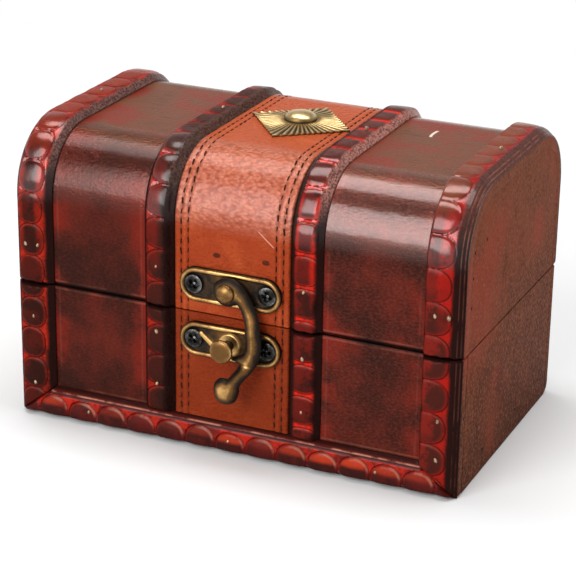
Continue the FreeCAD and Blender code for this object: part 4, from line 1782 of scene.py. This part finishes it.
def turned(profile: Sequence[Pair], columns: int, wear: Sequence[float] | None = None) -> Form:
    """A turned shape about Z.

    Args:
        profile: Radius and height from the top's middle outwards and down; the first radius is 0.
        columns: Points around.
        wear: How rubbed each point of the profile is.

    Returns:
        The closed form with its wear.
    """
    angles = np.arange(columns) * 2 * math.pi / columns
    ring = np.column_stack([np.cos(angles), np.sin(angles)])
    rings = [np.column_stack([ring * radius, np.full(columns, height)]) for radius, height in profile[1:]]
    points = np.concatenate([[[0.0, 0.0, profile[0][1]]], *rings])
    rubbed = np.ones(len(profile)) if wear is None else np.asarray(wear, float)
    marks = {"wear": np.concatenate([rubbed[:1], np.repeat(rubbed[1:], columns)])}
    return Form(points, fan_faces(len(profile) - 1, columns), marks=marks)


def dome_arc(radius: float, height: float, steps: int) -> Run:
    """The profile of a dome from its top to its rim, as radius and height under the top."""
    angles = np.linspace(0.0, math.pi / 2, steps)
    return [(radius * math.sin(angle), height * (math.cos(angle) - 1)) for angle in angles]


def facing_front(form: Form, middle: tuple[float, float, float]) -> Form:
    """Turns a form's Z to the front and sets it on a point.

    Args:
        form: The form.
        middle: The point.

    Returns:
        The turned form.
    """
    across, up, out = form.points.T
    points = np.column_stack([across, -out, up]) + np.array(middle)
    return Form(points, form.faces, form.surface, form.marks)


def stitch_shape(length: float = 1.85, width: float = 0.52, depth: float = 0.34) -> Form:
    """One stitch: a low rounded bar along X with few faces.

    Args:
        length: Its length.
        width: Its width.
        depth: Its height.

    Returns:
        The form.
    """
    shares = np.array([-1.0, -0.72, 0.72, 1.0])
    plump = np.array([0.35, 1.0, 1.0, 0.35])
    angles = np.arange(6) * math.pi / 3
    rings = [np.column_stack([np.full(6, share * length / 2), np.cos(angles) * width / 2 * full,
                              np.sin(angles) * depth / 2 * full]) for share, full in zip(shares, plump)]
    return Form(np.concatenate(rings), grid_faces(4, 6))


def brad_shape(radius: float = 0.48, height: float = 0.40, depth: float = 1.0, long: float = 1.5) -> Form:
    """The head of a brad: a low dome on a short shank.

    Args:
        radius: The head's radius.
        height: Its height.
        depth: The shank's length.
        long: How much longer the head is one way than the other.

    Returns:
        The form with its wear.
    """
    head = turned([(0.0, height), (radius * 0.55, height * 0.86), (radius * 0.9, height * 0.42),
                   (radius, 0.0), (radius * 0.9, -depth)], 12)
    return Form(head.points * [1.0, long, 1.0], head.faces, marks=head.marks)


def screw_shape(radius: float = 2.3, height: float = 0.8, arm_half: float = 0.46, arm_reach: float = 1.42,
                recess: float = 0.85, columns: int = 64, rings: int = 18) -> Form:
    """A domed screw head with a cross recess.

    Args:
        radius: The head's radius.
        height: The head's height over its seat.
        arm_half: Half the width of the cross's arms.
        arm_reach: How far they reach from the middle.
        recess: How deep the cross is.
        columns: Points around.
        rings: Rings from the middle to the rim.

    Returns:
        The head with its wear and its painted glint.
    """
    angles = np.arange(columns) * 2 * math.pi / columns
    shares = np.linspace(0.0, 1.0, rings + 1)[1:, None]
    across = radius * shares * np.cos(angles)
    aside = radius * shares * np.sin(angles)
    arm = np.minimum(np.abs(across), np.abs(aside))
    reach = np.maximum(np.abs(across), np.abs(aside))
    dome = height * (1 - 0.42 * shares ** 2.4)
    in_arm = held((arm_half - arm) / 0.16) * held((arm_reach - reach) / 0.35)
    up = dome - recess * in_arm * held(1.25 - reach * 0.6)
    # Painted glint: a bright spot in the middle of the recess, with the middle point fully bright.
    wear = 0.42 - 0.42 * in_arm + 0.2 * shares + bell(reach, 0.42)
    return spread_form(across, aside, up, height - 1.06, -0.4, wear, (1.0, 0.0))


@dataclass(frozen=True)
class LatchPlate:
    """A cast plate with a raised rim, a sunk floor, a boss and two screw seats, in millimetres."""

    node: str
    body: Body
    screws: str
    rib: tuple[Pair, ...] = ()
    thickness: float = 1.4
    floor: float = 0.72
    seat: float = 3.1
    rim: float = 1.45
    boss: float = 2.7
    rib_half: float = 0.8
    slope: float = 0.8
    saddle_half: float = 5.4
    saddle_rise: float = 0.28
    seat_sink: float = 0.24
    uneven: float = 0.06
    wave: float = 3.1
    columns: int = 264
    rings: int = 46

    def ridge(self, across: Array, up: Array) -> Array:
        """The raised rib beside the stud; a plate without one has none.

        Args:
            across: X of each place.
            up: Z of each place.

        Returns:
            The rib, from 0 to 1.
        """
        if not self.rib:
            return np.zeros_like(across)
        start, stop = (np.array(end) for end in self.rib)
        return bell(segment_distance(across, up, start, stop), self.rib_half, 4)

    def outline(self, half: float, radius: float) -> Array:
        """The plate's outline at even steps: two round ends and two straight sides.

        Args:
            half: Half the plate's length.
            radius: The radius of its ends.

        Returns:
            The outline's points.
        """
        flat = half - radius
        bend = math.pi * radius
        steps = np.arange(self.columns) * (4 * flat + 2 * bend) / self.columns
        side = np.where(steps < bend + 2 * flat, 1.0, -1.0)
        steps = steps % (bend + 2 * flat)
        angle = np.minimum(steps, bend) / radius - math.pi / 2
        across = flat + radius * np.cos(angle) - np.maximum(steps - bend, 0.0)
        return np.column_stack([across, radius * np.sin(angle)]) * side[:, None]

    def build(self, material: Material) -> None:
        """Makes the plate.

        Args:
            material: The material.
        """
        low, high = node_box(self.node)
        half = (high[0] - low[0]) / 2
        radius = (high[2] - low[2]) / 2
        shares = 1 - (1 - np.linspace(0.0, 1.0, self.rings + 1)[1:]) ** 1.35
        across, up = np.moveaxis(shares[:, None, None] * self.outline(half, radius), -1, 0)
        depth = radius - np.hypot(np.maximum(np.abs(across) - half + radius, 0.0), up)
        screws = [(first[0] + last[0]) / 2 for first, last in node_solids(self.screws)]
        from_screw = np.minimum.reduce([np.hypot(across - place, up) for place in screws])
        seat = held((self.seat - from_screw) / self.slope)
        saddle = bell(across, self.saddle_half, 4)
        floor = self.floor + self.saddle_rise * saddle - self.seat_sink * seat
        floor = floor + self.uneven * ripple(across, up, self.wave)
        crest = self.thickness - 0.5 * np.abs(2 * depth / self.rim - 0.9) ** 2.2
        inside = held((depth - self.rim * 0.8) / self.slope)
        inside = inside * inside * (3 - 2 * inside)
        height = np.maximum(crest, 0.35) * (1 - inside) + floor * inside
        boss = held((self.boss + 0.5 - np.hypot(across, up)) / 0.6)
        ridge = self.ridge(across, up)
        for raised in (boss, ridge):
            height = np.maximum(height, floor + (self.thickness - floor) * raised)
        rubbed = held((height - 0.95) / (self.thickness - 0.95)) ** 1.3
        rubbed = 0.14 + 0.20 * saddle * (1 - seat) + 0.60 * rubbed + 0.2 * ridge - 0.12 * seat
        form = spread_form(across, up, height, self.thickness, 0.0, rubbed, (0.8, 0.05))
        form = facing_front(form, (0.0, high[1], (high[2] + low[2]) / 2))
        form.piece(f"{self.node}_casting", material, Home(self.body, Slot.BRASS, (self.node,)))


def segment_distance(across: Array, up: Array, start: Array, stop: Array) -> Array:
    """How far places lie from a straight stretch.

    Args:
        across: One coordinate of each place.
        up: The other.
        start: Where the stretch starts.
        stop: Where it stops.

    Returns:
        The distances.
    """
    run = stop - start
    share = held(((across - start[0]) * run[0] + (up - start[1]) * run[1]) / (run @ run))
    return np.hypot(across - start[0] - share * run[0], up - start[1] - share * run[1])


def smooth_loop(points: Sequence[Pair], spacing: float, per_knot: int = 24) -> Array:
    """A closed smooth line through points, sampled at about even steps.

    Args:
        points: The points in order.
        spacing: The distance between samples.
        per_knot: Fine steps from one point to the next.

    Returns:
        The samples.
    """
    knots = np.array(points, float)
    count = len(knots)
    fine = []
    for number in range(count):
        before, here, after, beyond = (knots[(number + shift) % count] for shift in (-1, 0, 1, 2))
        for share in np.linspace(0.0, 1.0, per_knot, endpoint=False):
            fine.append(0.5 * (2 * here + (after - before) * share
                               + (2 * before - 5 * here + 4 * after - beyond) * share ** 2
                               + (3 * here - before - 3 * after + beyond) * share ** 3))
    closed = np.array(fine + fine[:1])
    lengths = np.concatenate([[0.0], np.cumsum(np.linalg.norm(np.diff(closed, axis=0), axis=1))])
    steps = np.arange(0.0, lengths[-1] - spacing / 2, spacing)
    return np.column_stack([np.interp(steps, lengths, closed[:, axis]) for axis in range(2)])


@dataclass(frozen=True)
class LatchHook:
    """The cast hook: its outline from the pivot, swollen between its borders, in millimetres."""

    node: str = "latch_hook"
    outline: tuple[Pair, ...] = (
        (0.0, 3.7), (2.2, 3.25), (4.3, 1.9), (6.5, -1.3), (8.2, -4.8), (9.3, -8.6), (9.65, -12.4),
        (9.1, -15.6), (7.9, -18.4), (6.5, -20.4), (5.5, -22.1), (5.3, -24.0), (4.2, -26.4), (2.0, -27.3),
        (-0.4, -26.4), (-1.35, -24.0), (-1.1, -22.1), (0.1, -20.8), (1.5, -20.5), (2.3, -20.6),
        (3.2, -19.3), (3.9, -17.9), (3.4, -17.4), (1.9, -16.9), (1.9, -16.35), (4.85, -14.6), (5.5, -12.1),
        (5.3, -9.6), (4.9, -7.0), (3.9, -4.6), (2.6, -2.75), (0.9, -3.6), (-1.4, -3.45), (-3.2, -1.9),
        (-3.7, 0.2), (-2.9, 2.3),
    )
    profile: tuple[tuple[float, float, float], ...] = (
        (-29.0, 4.3, 2.7), (-20.4, 4.3, 2.6), (-17.6, 1.15, 2.25), (-9.4, 1.15, 2.25), (-4.0, 0.15, 2.0),
        (3.7, 0.15, 2.0),
    )
    spacing: float = 0.34
    swell: float = 1.75
    knob: Pair = (2.0, -24.0)
    knob_radius: float = 3.3
    knob_rise: float = 0.5
    back_share: float = 0.42
    front_share: float = 0.58

    def levels(self, up: Array) -> tuple[Array, Array]:
        """How far the back of the hook stands off the plate and how thick it is there."""
        drops, backs, thick = np.array(self.profile).T
        return np.interp(up, drops, backs), np.interp(up, drops, thick)

    def build(self, material: Material, pivot: Pair) -> None:
        """Makes the hook.

        Args:
            material: The material.
            pivot: The height of the pivot and the Y of the plate's rim.
        """
        border = smooth_loop(self.outline, self.spacing)
        count = len(border)
        low, high = border.min(axis=0), border.max(axis=0)
        grid = np.stack(np.meshgrid(np.arange(low[0], high[0], self.spacing),
                                    np.arange(low[1], high[1], self.spacing)), axis=-1).reshape(-1, 2)
        depth = self.depth(grid, border)
        inner = grid[depth > self.spacing * 0.55]
        spots = np.concatenate([border, inner])
        edges = [(n, (n + 1) % count) for n in range(count)]
        spots_out, _, triangles, *_ = delaunay_2d_cdt([Vector(spot) for spot in spots], edges,
                                                      [list(range(count))], 1, 1e-7)
        flat = np.array([tuple(spot) for spot in spots_out])
        depth = np.maximum(self.depth(flat, border), 0.0)
        depth[:count] = 0.0
        round_share = held(depth / self.swell)
        plump = np.sqrt(held(1 - (1 - round_share) ** 2))
        back, thick = self.levels(flat[:, 1])
        ball = held(1 - (np.linalg.norm(flat - self.knob, axis=1) / self.knob_radius) ** 2)
        middle = back + thick * self.back_share
        front_out = middle + (thick * self.front_share) * plump + self.knob_rise * ball
        back_out = middle - (thick * self.back_share) * plump
        shared = np.arange(len(flat)) < count
        back_number = np.where(shared, np.arange(len(flat)), np.cumsum(~shared) - 1 + len(flat))
        front = np.column_stack([flat[:, 0], -front_out, flat[:, 1]])
        rear = np.column_stack([flat[:, 0], -back_out, flat[:, 1]])[~shared]
        points = np.concatenate([front, rear]) + np.array([0.0, pivot[1], pivot[0]])
        faces = [tuple(face) for face in triangles]
        faces += [tuple(int(back_number[n]) for n in reversed(face)) for face in triangles]
        ridge = held(depth / 2.1) ** 1.4
        rubbed = -0.04 + 0.82 * ridge + 0.14 * ripple(flat[:, 0], flat[:, 1], 5.0)
        wear = np.concatenate([rubbed, np.full(len(rear), 0.05)])
        form = Form(points, faces, marks={"wear": wear})
        form.piece("latch_hook_casting", material, Home(Body.HOOK, Slot.BRASS, (self.node,)))

    @staticmethod
    def depth(spots: Array, border: Array) -> Array:
        """How deep points lie inside a closed border; negative outside.

        Args:
            spots: The points.
            border: The border's points.

        Returns:
            The depths.
        """
        distances = np.full(len(spots), np.inf)
        crossings = np.zeros(len(spots), int)
        for start, stop in zip(border, np.roll(border, -1, axis=0)):
            run = stop - start
            distances = np.minimum(distances, segment_distance(spots[:, 0], spots[:, 1], start, stop))
            spans = (start[1] > spots[:, 1]) != (stop[1] > spots[:, 1])
            rise = run[1] if run[1] else 1e-12
            crossings += spans & (spots[:, 0] < start[0] + (spots[:, 1] - start[1]) * run[0] / rise)
        return np.where(crossings % 2 == 1, distances, -distances)


@dataclass(frozen=True)
class Latch:
    """The hasp and the catch: plates, rivet, stud, hook and screws, in millimetres."""

    rib: tuple[Pair, ...] = ((-7.6, 1.7), (-4.6, -0.8))
    rivet_rise: float = 1.3
    rivet_shank: float = 1.2
    columns: int = 48

    def build(self, brass: Material, steel: Material, repeat: Repeat) -> None:
        """Makes every piece of the latch.

        Args:
            brass: The antique brass.
            steel: The dark steel of the screws.
            repeat: The tree that sets the screws.
        """
        for name, body, rib in (("hasp", Body.LID, ()), ("catch", Body.BASE, self.rib)):
            LatchPlate(f"{name}_plate", body, f"{name}_screws", rib).build(brass)
            self.screws(f"{name}_screws", body, steel, repeat)
        low, high = node_box("hasp_plate")
        pivot = ((low[2] + high[2]) / 2, low[1])
        LatchHook().build(brass, pivot)
        self.rivet(brass)
        self.stud(brass)

    @staticmethod
    def screws(node: str, body: Body, steel: Material, repeat: Repeat) -> None:
        """Sets both screws of a plate.

        Args:
            node: The CAD node.
            body: Its body.
            steel: The material.
            repeat: The tree that sets the screws.
        """
        boxes = node_solids(node)
        head = screw_shape().points[:, 2].max()
        middles = [(low + high) / 2 for low, high in boxes]
        points = np.array([[spot[0], low[1] + head, spot[2]] for spot, (low, _) in zip(middles, boxes)])
        outward = np.tile([0.0, -1.0, 0.0], (len(points), 1))
        forward = np.array([[math.cos(0.5 + n), 0.0, math.sin(0.5 + n)] for n in range(len(points))])
        home = Home(body, Slot.STEEL, (node,))
        repeat.make(f"{node}_heads", (points, outward, forward), screw_shape(), steel, home, (0.0, 0.5))

    def rivet(self, brass: Material) -> None:
        """Makes the domed rivet on which the hook turns.

        Args:
            brass: The material.
        """
        low, high = node_box("hasp_rivet")
        radius = (high[0] - low[0]) / 2
        dome = high[1] - low[1]
        foot = [(radius * 0.97, -1.45), (self.rivet_shank, -1.5), (self.rivet_shank, -dome)]
        profile = dome_arc(radius, self.rivet_rise, 9) + foot
        form = turned(profile, self.columns, [0.62] * 7 + [0.45, 0.2, 0.05, 0.0, 0.0])
        middle = (0.0, low[1], (low[2] + high[2]) / 2)
        home = Home(Body.LID, Slot.BRASS, ("hasp_rivet",))
        facing_front(form, middle).piece("hasp_rivet_dome", brass, home)

    def stud(self, brass: Material) -> None:
        """Makes the stud that the hook catches: a flat head on a flared neck.

        Args:
            brass: The material.
        """
        low, high = node_box("catch_stud")
        radius = (high[0] - low[0]) / 2
        deep = high[1] - low[1]
        profile = [(0.0, -0.1), (radius * 0.55, -0.12), (radius * 0.8, -0.22), (radius * 0.93, -0.45),
                   (radius, -0.85), (radius * 0.97, -1.35), (radius * 0.8, -1.7), (1.35, -1.85), (1.12, -2.4),
                   (1.15, -deep + 1.6), (1.7, -deep + 1.0), (1.9, -deep)]
        wear = [0.5, 0.48, 0.6, 0.85, 0.7, 0.4, 0.15, 0.05, 0.1, 0.2, 0.1, 0.0]
        middle = (0.0, low[1], (low[2] + high[2]) / 2)
        form = facing_front(turned(profile, self.columns, wear), middle)
        form.piece("catch_stud_turning", brass, Home(Body.BASE, Slot.BRASS, ("catch_stud",)))


@dataclass(frozen=True)
class Ornament:
    """A fluted diamond plate and its domed tack, in millimetres."""

    turn_degrees: float = -6.0
    flutes: int = 44
    flute_depth: float = 0.16
    tooth: float = 0.018
    flat: float = 4.2
    edge_rise: float = 0.45
    lip: float = 0.22
    columns: int = 528
    rings: int = 22

    def build(self, brass: Material) -> None:
        """Makes the plate and the tack.

        Args:
            brass: The material.
        """
        low, high = node_box("ornament_plate")
        tack_low, tack_high = node_box("ornament_tack")
        middle = np.array([(tack_low[0] + tack_high[0]) / 2, (tack_low[1] + tack_high[1]) / 2])
        half = (high[0] - low[0]) / 2 * 0.99
        angles = np.arange(self.columns) * 2 * math.pi / self.columns
        square = np.abs(np.cos(angles)) + np.abs(np.sin(angles))
        flute = np.cos(angles * self.flutes)
        reach = half / square * (1 + self.tooth * flute)
        shares = np.linspace(0.0, 1.0, self.rings + 1)[1:, None]
        distance = shares * reach
        turn = math.radians(self.turn_degrees)
        across = distance * np.cos(angles + turn)
        aside = distance * np.sin(angles + turn)
        rise = high[2] - low[2]
        fall = held((distance - self.flat) / (reach - self.flat + 1e-6))
        grow = held((distance - 4.0) / 2.5)
        fluted = self.flute_depth * flute * grow - self.flute_depth * grow
        height = rise - (rise - self.edge_rise) * fall ** 0.8 + fluted + self.lip * bell(1 - shares, 0.05)
        rubbed = 0.60 + 0.50 * flute * grow + 0.25 * bell(1 - shares, 0.07) - 0.08 * fall
        form = spread_form(across, aside, np.maximum(height, 0.12), rise, 0.0, rubbed, (0.5, 0.1))
        form.points += np.array([*middle, low[2]])
        form.piece("ornament_plate_fluted", brass, Home(Body.LID, Slot.BRASS, ("ornament_plate",)))
        self.tack(brass, middle, tack_high[2], (tack_high[0] - tack_low[0]) / 2)

    @staticmethod
    def tack(brass: Material, middle: Array, top: float, radius: float) -> None:
        """Makes the domed tack.

        Args:
            brass: The material.
            middle: X and Y of the tack.
            top: Z of its top.
            radius: Its radius.
        """
        arc = dome_arc(radius, 2.1, 12)
        profile = arc + [(radius * 0.94, -2.35), (1.0, -2.4), (0.9, -5.9)]
        form = turned(profile, 56, [0.9] * 8 + [0.8, 0.6, 0.35, 0.15, 0.0, 0.0, 0.0])
        form.points += np.array([*middle, top])
        form.piece("ornament_tack_dome", brass, Home(Body.LID, Slot.BRASS, ("ornament_tack",)))


@dataclass(frozen=True)
class Fasteners:
    """The brads in the straps and the nails in the hinges, in millimetres and radians."""

    nail: tuple[float, ...] = (1.1, 0.25, 0.9, 1.0)
    brad_spread: Pair = (0.25, 0.5)
    nail_spread: Pair = (0.05, math.pi)

    def build(self, repeat: Repeat, brads: Material, nails: Material) -> None:
        """Sets every brad and nail on its CAD place.

        Args:
            repeat: The tree that sets them.
            brads: The brads' material.
            nails: The nails' material.
        """
        kinds = (("brads", Slot.BRAD, brad_shape(), brads, self.brad_spread),
                 ("hinge_nails", Slot.HINGE, brad_shape(*self.nail), nails, self.nail_spread))
        for kind, slot, shape, material, spread in kinds:
            for body in (Body.BASE, Body.LID):
                node = f"{body.value}_{kind}"
                home = Home(body, slot, (node,))
                repeat.make(f"{node}_heads", self.spots(node, shape), shape, material, home, spread)

    @staticmethod
    def spots(node: str, shape: Form) -> Spots:
        """Where the heads of a node's pins are, so that they end at the pins' tips, and which way they face.

        Args:
            node: The CAD node.
            shape: The head.

        Returns:
            Points, outward directions and directions across them.
        """
        points, outwards, forwards = [], [], []
        for low, high in node_solids(node):
            axis = int(np.argmax(high - low))
            middle = (low + high) / 2
            side = 1.0 if axis == 2 else math.copysign(1.0, middle[1])
            outward = np.zeros(3)
            outward[axis] = side
            head = middle.copy()
            head[axis] = (high if side > 0 else low)[axis] - side * shape.points[:, 2].max()
            points.append(head)
            outwards.append(outward)
            forwards.append([1.0, 0.0, 0.0])
        return np.array(points), np.array(outwards), np.array(forwards)


@dataclass(frozen=True)
class Stage:
    """The pale floor, the soft lights and the camera, in metres and degrees."""

    focal_pixels: float = 2148.3
    frame_pixels: float = 576.0
    eye: tuple[float, float, float] = (0.20655, -0.47122, 0.23512)
    yaw: float = 23.761
    pitch: float = 21.632
    roll: float = -0.908
    floor_radius: float = 6.0
    floor_sides: int = 96
    floor_gap: float = 0.0002
    paper: Colour = (0.80, 0.80, 0.80)
    low_light: Colour = (0.60, 0.60, 0.60)
    ceiling: Colour = (0.12, 0.12, 0.12)
    white: Colour = (1.0, 1.0, 1.0)

    def build(self) -> None:
        """Makes the floor, the world, the lights and the camera."""
        scene = bpy.context.scene
        scene.view_settings.view_transform = "Standard"
        self.floor()
        self.world()
        self.soft_box("overhead_box", Vector((0.0, 0.13, 1.06)), Vector((0.0, 0.13, 0.0)), (1.28, 0.52), 12.2)
        self.soft_box("front_box", Vector((-0.21, -0.88, 0.50)), Vector((0.0, 0.0, 0.05)), (0.66, 0.78), 8.6)
        self.camera()

    def camera(self) -> None:
        """Sets the camera where the chest shows its front and right end."""
        yaw, pitch, roll = (math.radians(angle) for angle in (self.yaw, self.pitch, self.roll))
        level = math.cos(pitch)
        forward = Vector((-math.sin(yaw) * level, math.cos(yaw) * level, -math.sin(pitch)))
        right = Vector((math.cos(yaw), math.sin(yaw), 0.0))
        down = forward.cross(right)
        sideways = right * math.cos(roll) + down * math.sin(roll)
        upright = right * math.sin(roll) - down * math.cos(roll)
        turn = Matrix((sideways, upright, -forward)).transposed()
        data = bpy.data.cameras.new("camera")
        data.lens = data.sensor_width * self.focal_pixels / self.frame_pixels
        data.clip_start, data.clip_end = 0.01, 50.0
        camera = bpy.data.objects.new("camera", data)
        camera.matrix_world = Matrix.Translation(self.eye) @ turn.to_4x4()
        bpy.context.scene.collection.objects.link(camera)
        bpy.context.scene.camera = camera

    @staticmethod
    def soft_box(name: str, place: Vector, target: Vector, size: Pair, power: float) -> None:
        """Adds a rectangular soft light.

        Args:
            name: The light's name.
            place: Where it stands.
            target: What it points at.
            size: Its width and height.
            power: Its power in watts.
        """
        data = bpy.data.lights.new(name, "AREA")
        data.shape = "RECTANGLE"
        data.size, data.size_y = size
        data.energy = power
        light = bpy.data.objects.new(name, data)
        light.location = place
        light.rotation_euler = (target - place).to_track_quat("-Z", "Y").to_euler()
        bpy.context.scene.collection.objects.link(light)

    @staticmethod
    def rays(weave: Weave) -> tuple[Value, Value]:
        """Which rays ask for the backdrop or the floor.

        Args:
            weave: The tree.

        Returns:
            1 for rays from the camera, and 1 for rays from glossy or clear surfaces.
        """
        light_path = weave.add("ShaderNodeLightPath")
        camera, glossy, clear = (weave.value(light_path, f"Is {kind} Ray")
                                 for kind in ("Camera", "Glossy", "Transmission"))
        return camera, glossy.high(clear)

    def world(self) -> None:
        """A white backdrop that is dimmer overhead, where a studio has its dark ceiling."""
        world = bpy.data.worlds.new("studio")
        weave = cleared(world)
        up = weave.parts(weave.value(weave.add("ShaderNodeTexCoord"), "Generated"))[2]
        camera, mirrored = self.rays(weave)
        seen = camera.high(mirrored * up.step(0.50, 0.30))
        shade = weave.mix(self.low_light, self.ceiling, up.step(0.40, 0.75))
        shown = weave.mix(shade, self.white, seen)
        back = weave.add("ShaderNodeBackground", sockets={"Color": shown, "Strength": 1.0})
        weave.add("ShaderNodeOutputWorld", sockets={"Surface": back.outputs[0]})
        bpy.context.scene.world = world

    def floor(self) -> None:
        """A pale floor that keeps the shadow near the chest and is plain white further out."""
        mesh = bpy.data.meshes.new("floor")
        angles = np.arange(self.floor_sides) * 2 * math.pi / self.floor_sides
        ring = np.column_stack([np.cos(angles), np.sin(angles), angles * 0.0]) * self.floor_radius
        mesh.from_pydata(ring.tolist(), [], [list(range(self.floor_sides))])
        floor = bpy.data.objects.new("floor", mesh)
        floor.location.z = -self.floor_gap
        bpy.context.scene.collection.objects.link(floor)
        material = bpy.data.materials.new("pale_floor")
        weave = cleared(material)
        across, aside, _ = weave.parts(weave.place())
        distance = (across * across + aside * aside) ** 0.5
        camera, mirrored = self.rays(weave)
        paper = weave.add("ShaderNodeBsdfDiffuse", sockets={"Color": self.paper})
        white = weave.add("ShaderNodeEmission", sockets={"Color": self.white, "Strength": 1.0})
        share = camera.high(mirrored) * distance.step(0.12, 0.42)
        blend = weave.add("ShaderNodeMixShader", sockets={0: share, 1: paper.outputs[0], 2: white.outputs[0]})
        weave.add("ShaderNodeOutputMaterial", sockets={"Surface": blend.outputs[0]})
        mesh.materials.append(material)


def strap_finishes() -> dict[str, StrapFinish]:
    """The five looks of the straps and the strip.

    Returns:
        Each finish by the strap's place.
    """
    end_half = (CHEST.end_strap[1] - CHEST.end_strap[0]) / 2
    inner_half = (CHEST.inner_strap[1] - CHEST.inner_strap[0]) / 2
    left = StrapFinish(
        "left_strap_lacquer", Scales(shift=-0.5, half=3.6, power=2.5, phase=0.1, squeeze=0.5),
        Section(1.2, 1.6), end_half, gap=srgb(158, 34, 18), scale=srgb(70, 19, 12), stain=srgb(38, 15, 10),
        flank_highlight=srgb(116, 82, 75), top=srgb(146, 48, 26), staining=0.8, lit_red_share=0.7)
    right = StrapFinish(
        "right_strap_lacquer", Scales(shift=-3.2, half=5.3, power=2.4, phase=0.35, squeeze=0.5),
        Section(0.8, 2.4), end_half, gap=srgb(150, 22, 13), scale=srgb(112, 27, 19), stain=srgb(58, 24, 18),
        flank_highlight=srgb(90, 54, 48), top=srgb(120, 62, 44), staining=0.5, lean=0.5, creep=0.5, streaking=0.7,
        lit_red_share=0.9, topping=0.8, mottling=0.4)
    inner_left = StrapFinish(
        "inner_left_strap_lacquer", Scales(shift=2.6, half=6.0, power=2.6, phase=0.2, squeeze=0.5),
        Section(1.3, 1.6), inner_half, gap=srgb(150, 30, 16), scale=srgb(58, 20, 14), stain=srgb(36, 18, 13),
        flank_highlight=srgb(92, 64, 55), top=srgb(66, 32, 23), staining=0.9, lean=0.3, creep=0.9, rough=0.36,
        crinkle=0.22, mirror=0.5, wear_and_highlight_share=0.04)
    inner_right = StrapFinish(
        "inner_right_strap_lacquer", Scales(half=3.8, power=3.0, phase=0.6, squeeze=0.45),
        Section(1.2, 1.6), inner_half, gap=srgb(196, 34, 19), scale=srgb(92, 22, 15), stain=srgb(46, 18, 13),
        top=srgb(82, 34, 25), staining=0.55, lit_red_share=0.95, wear_and_highlight_share=0.25, left_shadow=0.7)
    strip = StrapFinish(
        "strip_lacquer", Scales(shift=-2.0, half=3.9, power=2.2, phase=0.3, lift=0.66, groove=0.34),
        Section(0.9, 1.3), 4.0, gap=srgb(170, 32, 18), scale=srgb(88, 20, 15), stain=srgb(46, 14, 10),
        wear_and_highlight=srgb(226, 150, 124), staining=0.7, wear_and_highlight_share=0.35, blush_and_glint_share=0.5, gloss=0.08, is_strip=True)
    return {"left": left, "right": right, "inner_left": inner_left, "inner_right": inner_right,
            "strip": strip}


def dress_chest() -> None:
    """Builds every sub-assembly in order and gives the kept CAD nodes their finish."""
    board_finish = BoardFinish("stained_end_boards")
    panels = PanelFinish("stained_panels", board_finish).material()
    ends = board_finish.material()
    brass = MetalFinish("antique_brass", srgb(28, 18, 10), srgb(104, 74, 41), srgb(206, 162, 102)).material()
    silvered = MetalFinish("ornament_brass", srgb(42, 32, 19), srgb(126, 100, 60),
                           srgb(218, 190, 138)).material()
    # The bright colour of the screw steel is their painted glint.
    steel = MetalFinish("dark_screw_steel", srgb(3, 3, 3), srgb(34, 33, 32), srgb(190, 188, 184),
                        0.22).material()
    brads = PlainFinish("pale_brads", srgb(182, 158, 130), srgb(108, 86, 66), 0.35, 0.6).material()
    hinge = PlainFinish("hinge_brass", srgb(158, 124, 72), srgb(128, 98, 55), 0.36, 1.0).material()
    thread = PlainFinish("stitch_thread", srgb(34, 14, 8), srgb(62, 28, 16), 0.7, specular=0.1).material()
    Boards().build(panels, ends)
    for place, finish in strap_finishes().items():
        material = finish.material()
        if place == "strip":
            BottomStrip(finish).build(material)
            continue
        reeds = {"left": -1, "right": 1}.get(place, 0)
        for body, node in ((Body.BASE, f"base_{place}_strap"), (Body.LID, f"lid_{place}_strap")):
            Strap(node, finish, body, reeds=reeds).build(material)
    repeat = Repeat("set_copies")
    for body, node in ((Body.BASE, "base_leather_band"), (Body.LID, "lid_leather_band")):
        band = LeatherBand(node, body)
        # Painted shade: the box's band has a darker tan and light colour, since less light reaches it low
        # down.
        looks = {"tan": srgb(121, 42, 15), "light": srgb(140, 56, 25)}
        if body is Body.LID:
            looks = {"dents": ((-4.0, 15.4), (9.0, 15.6)), "scratch": (9.0, 21.5)}
        band.build(LeatherFinish(f"{node}_tan", band.half, band.rows, **looks).material())
        repeat.make(f"{node}_stitches", band.stitches(), stitch_shape(), thread,
                    Home(body, Slot.LEATHER), (0.4, 0.2))
    Latch().build(brass, steel, repeat)
    Ornament().build(silvered)
    Fasteners().build(repeat, brads, hinge)
    dress_node("base_floor", ends)
    for side in ("left", "right"):
        for node in (f"base_{side}_hinge_leaf", f"lid_{side}_hinge_leaf", f"{side}_hinge_pin"):
            dress_node(node, hinge)


def dress_node(node: str, material: Material) -> None:
    """Gives a kept CAD node a finish.

    Args:
        node: The CAD node.
        material: The material.
    """
    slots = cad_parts[node].data.materials
    slots.clear()
    slots.append(material)
    log.info("%s keeps its CAD shape", node)


def main() -> None:
    """Builds the stage and the chest and reports each piece."""
    logging.basicConfig(level=logging.INFO, format="%(message)s")
    Stage().build()
    dress_chest()


if __name__ == "__main__":
    main()
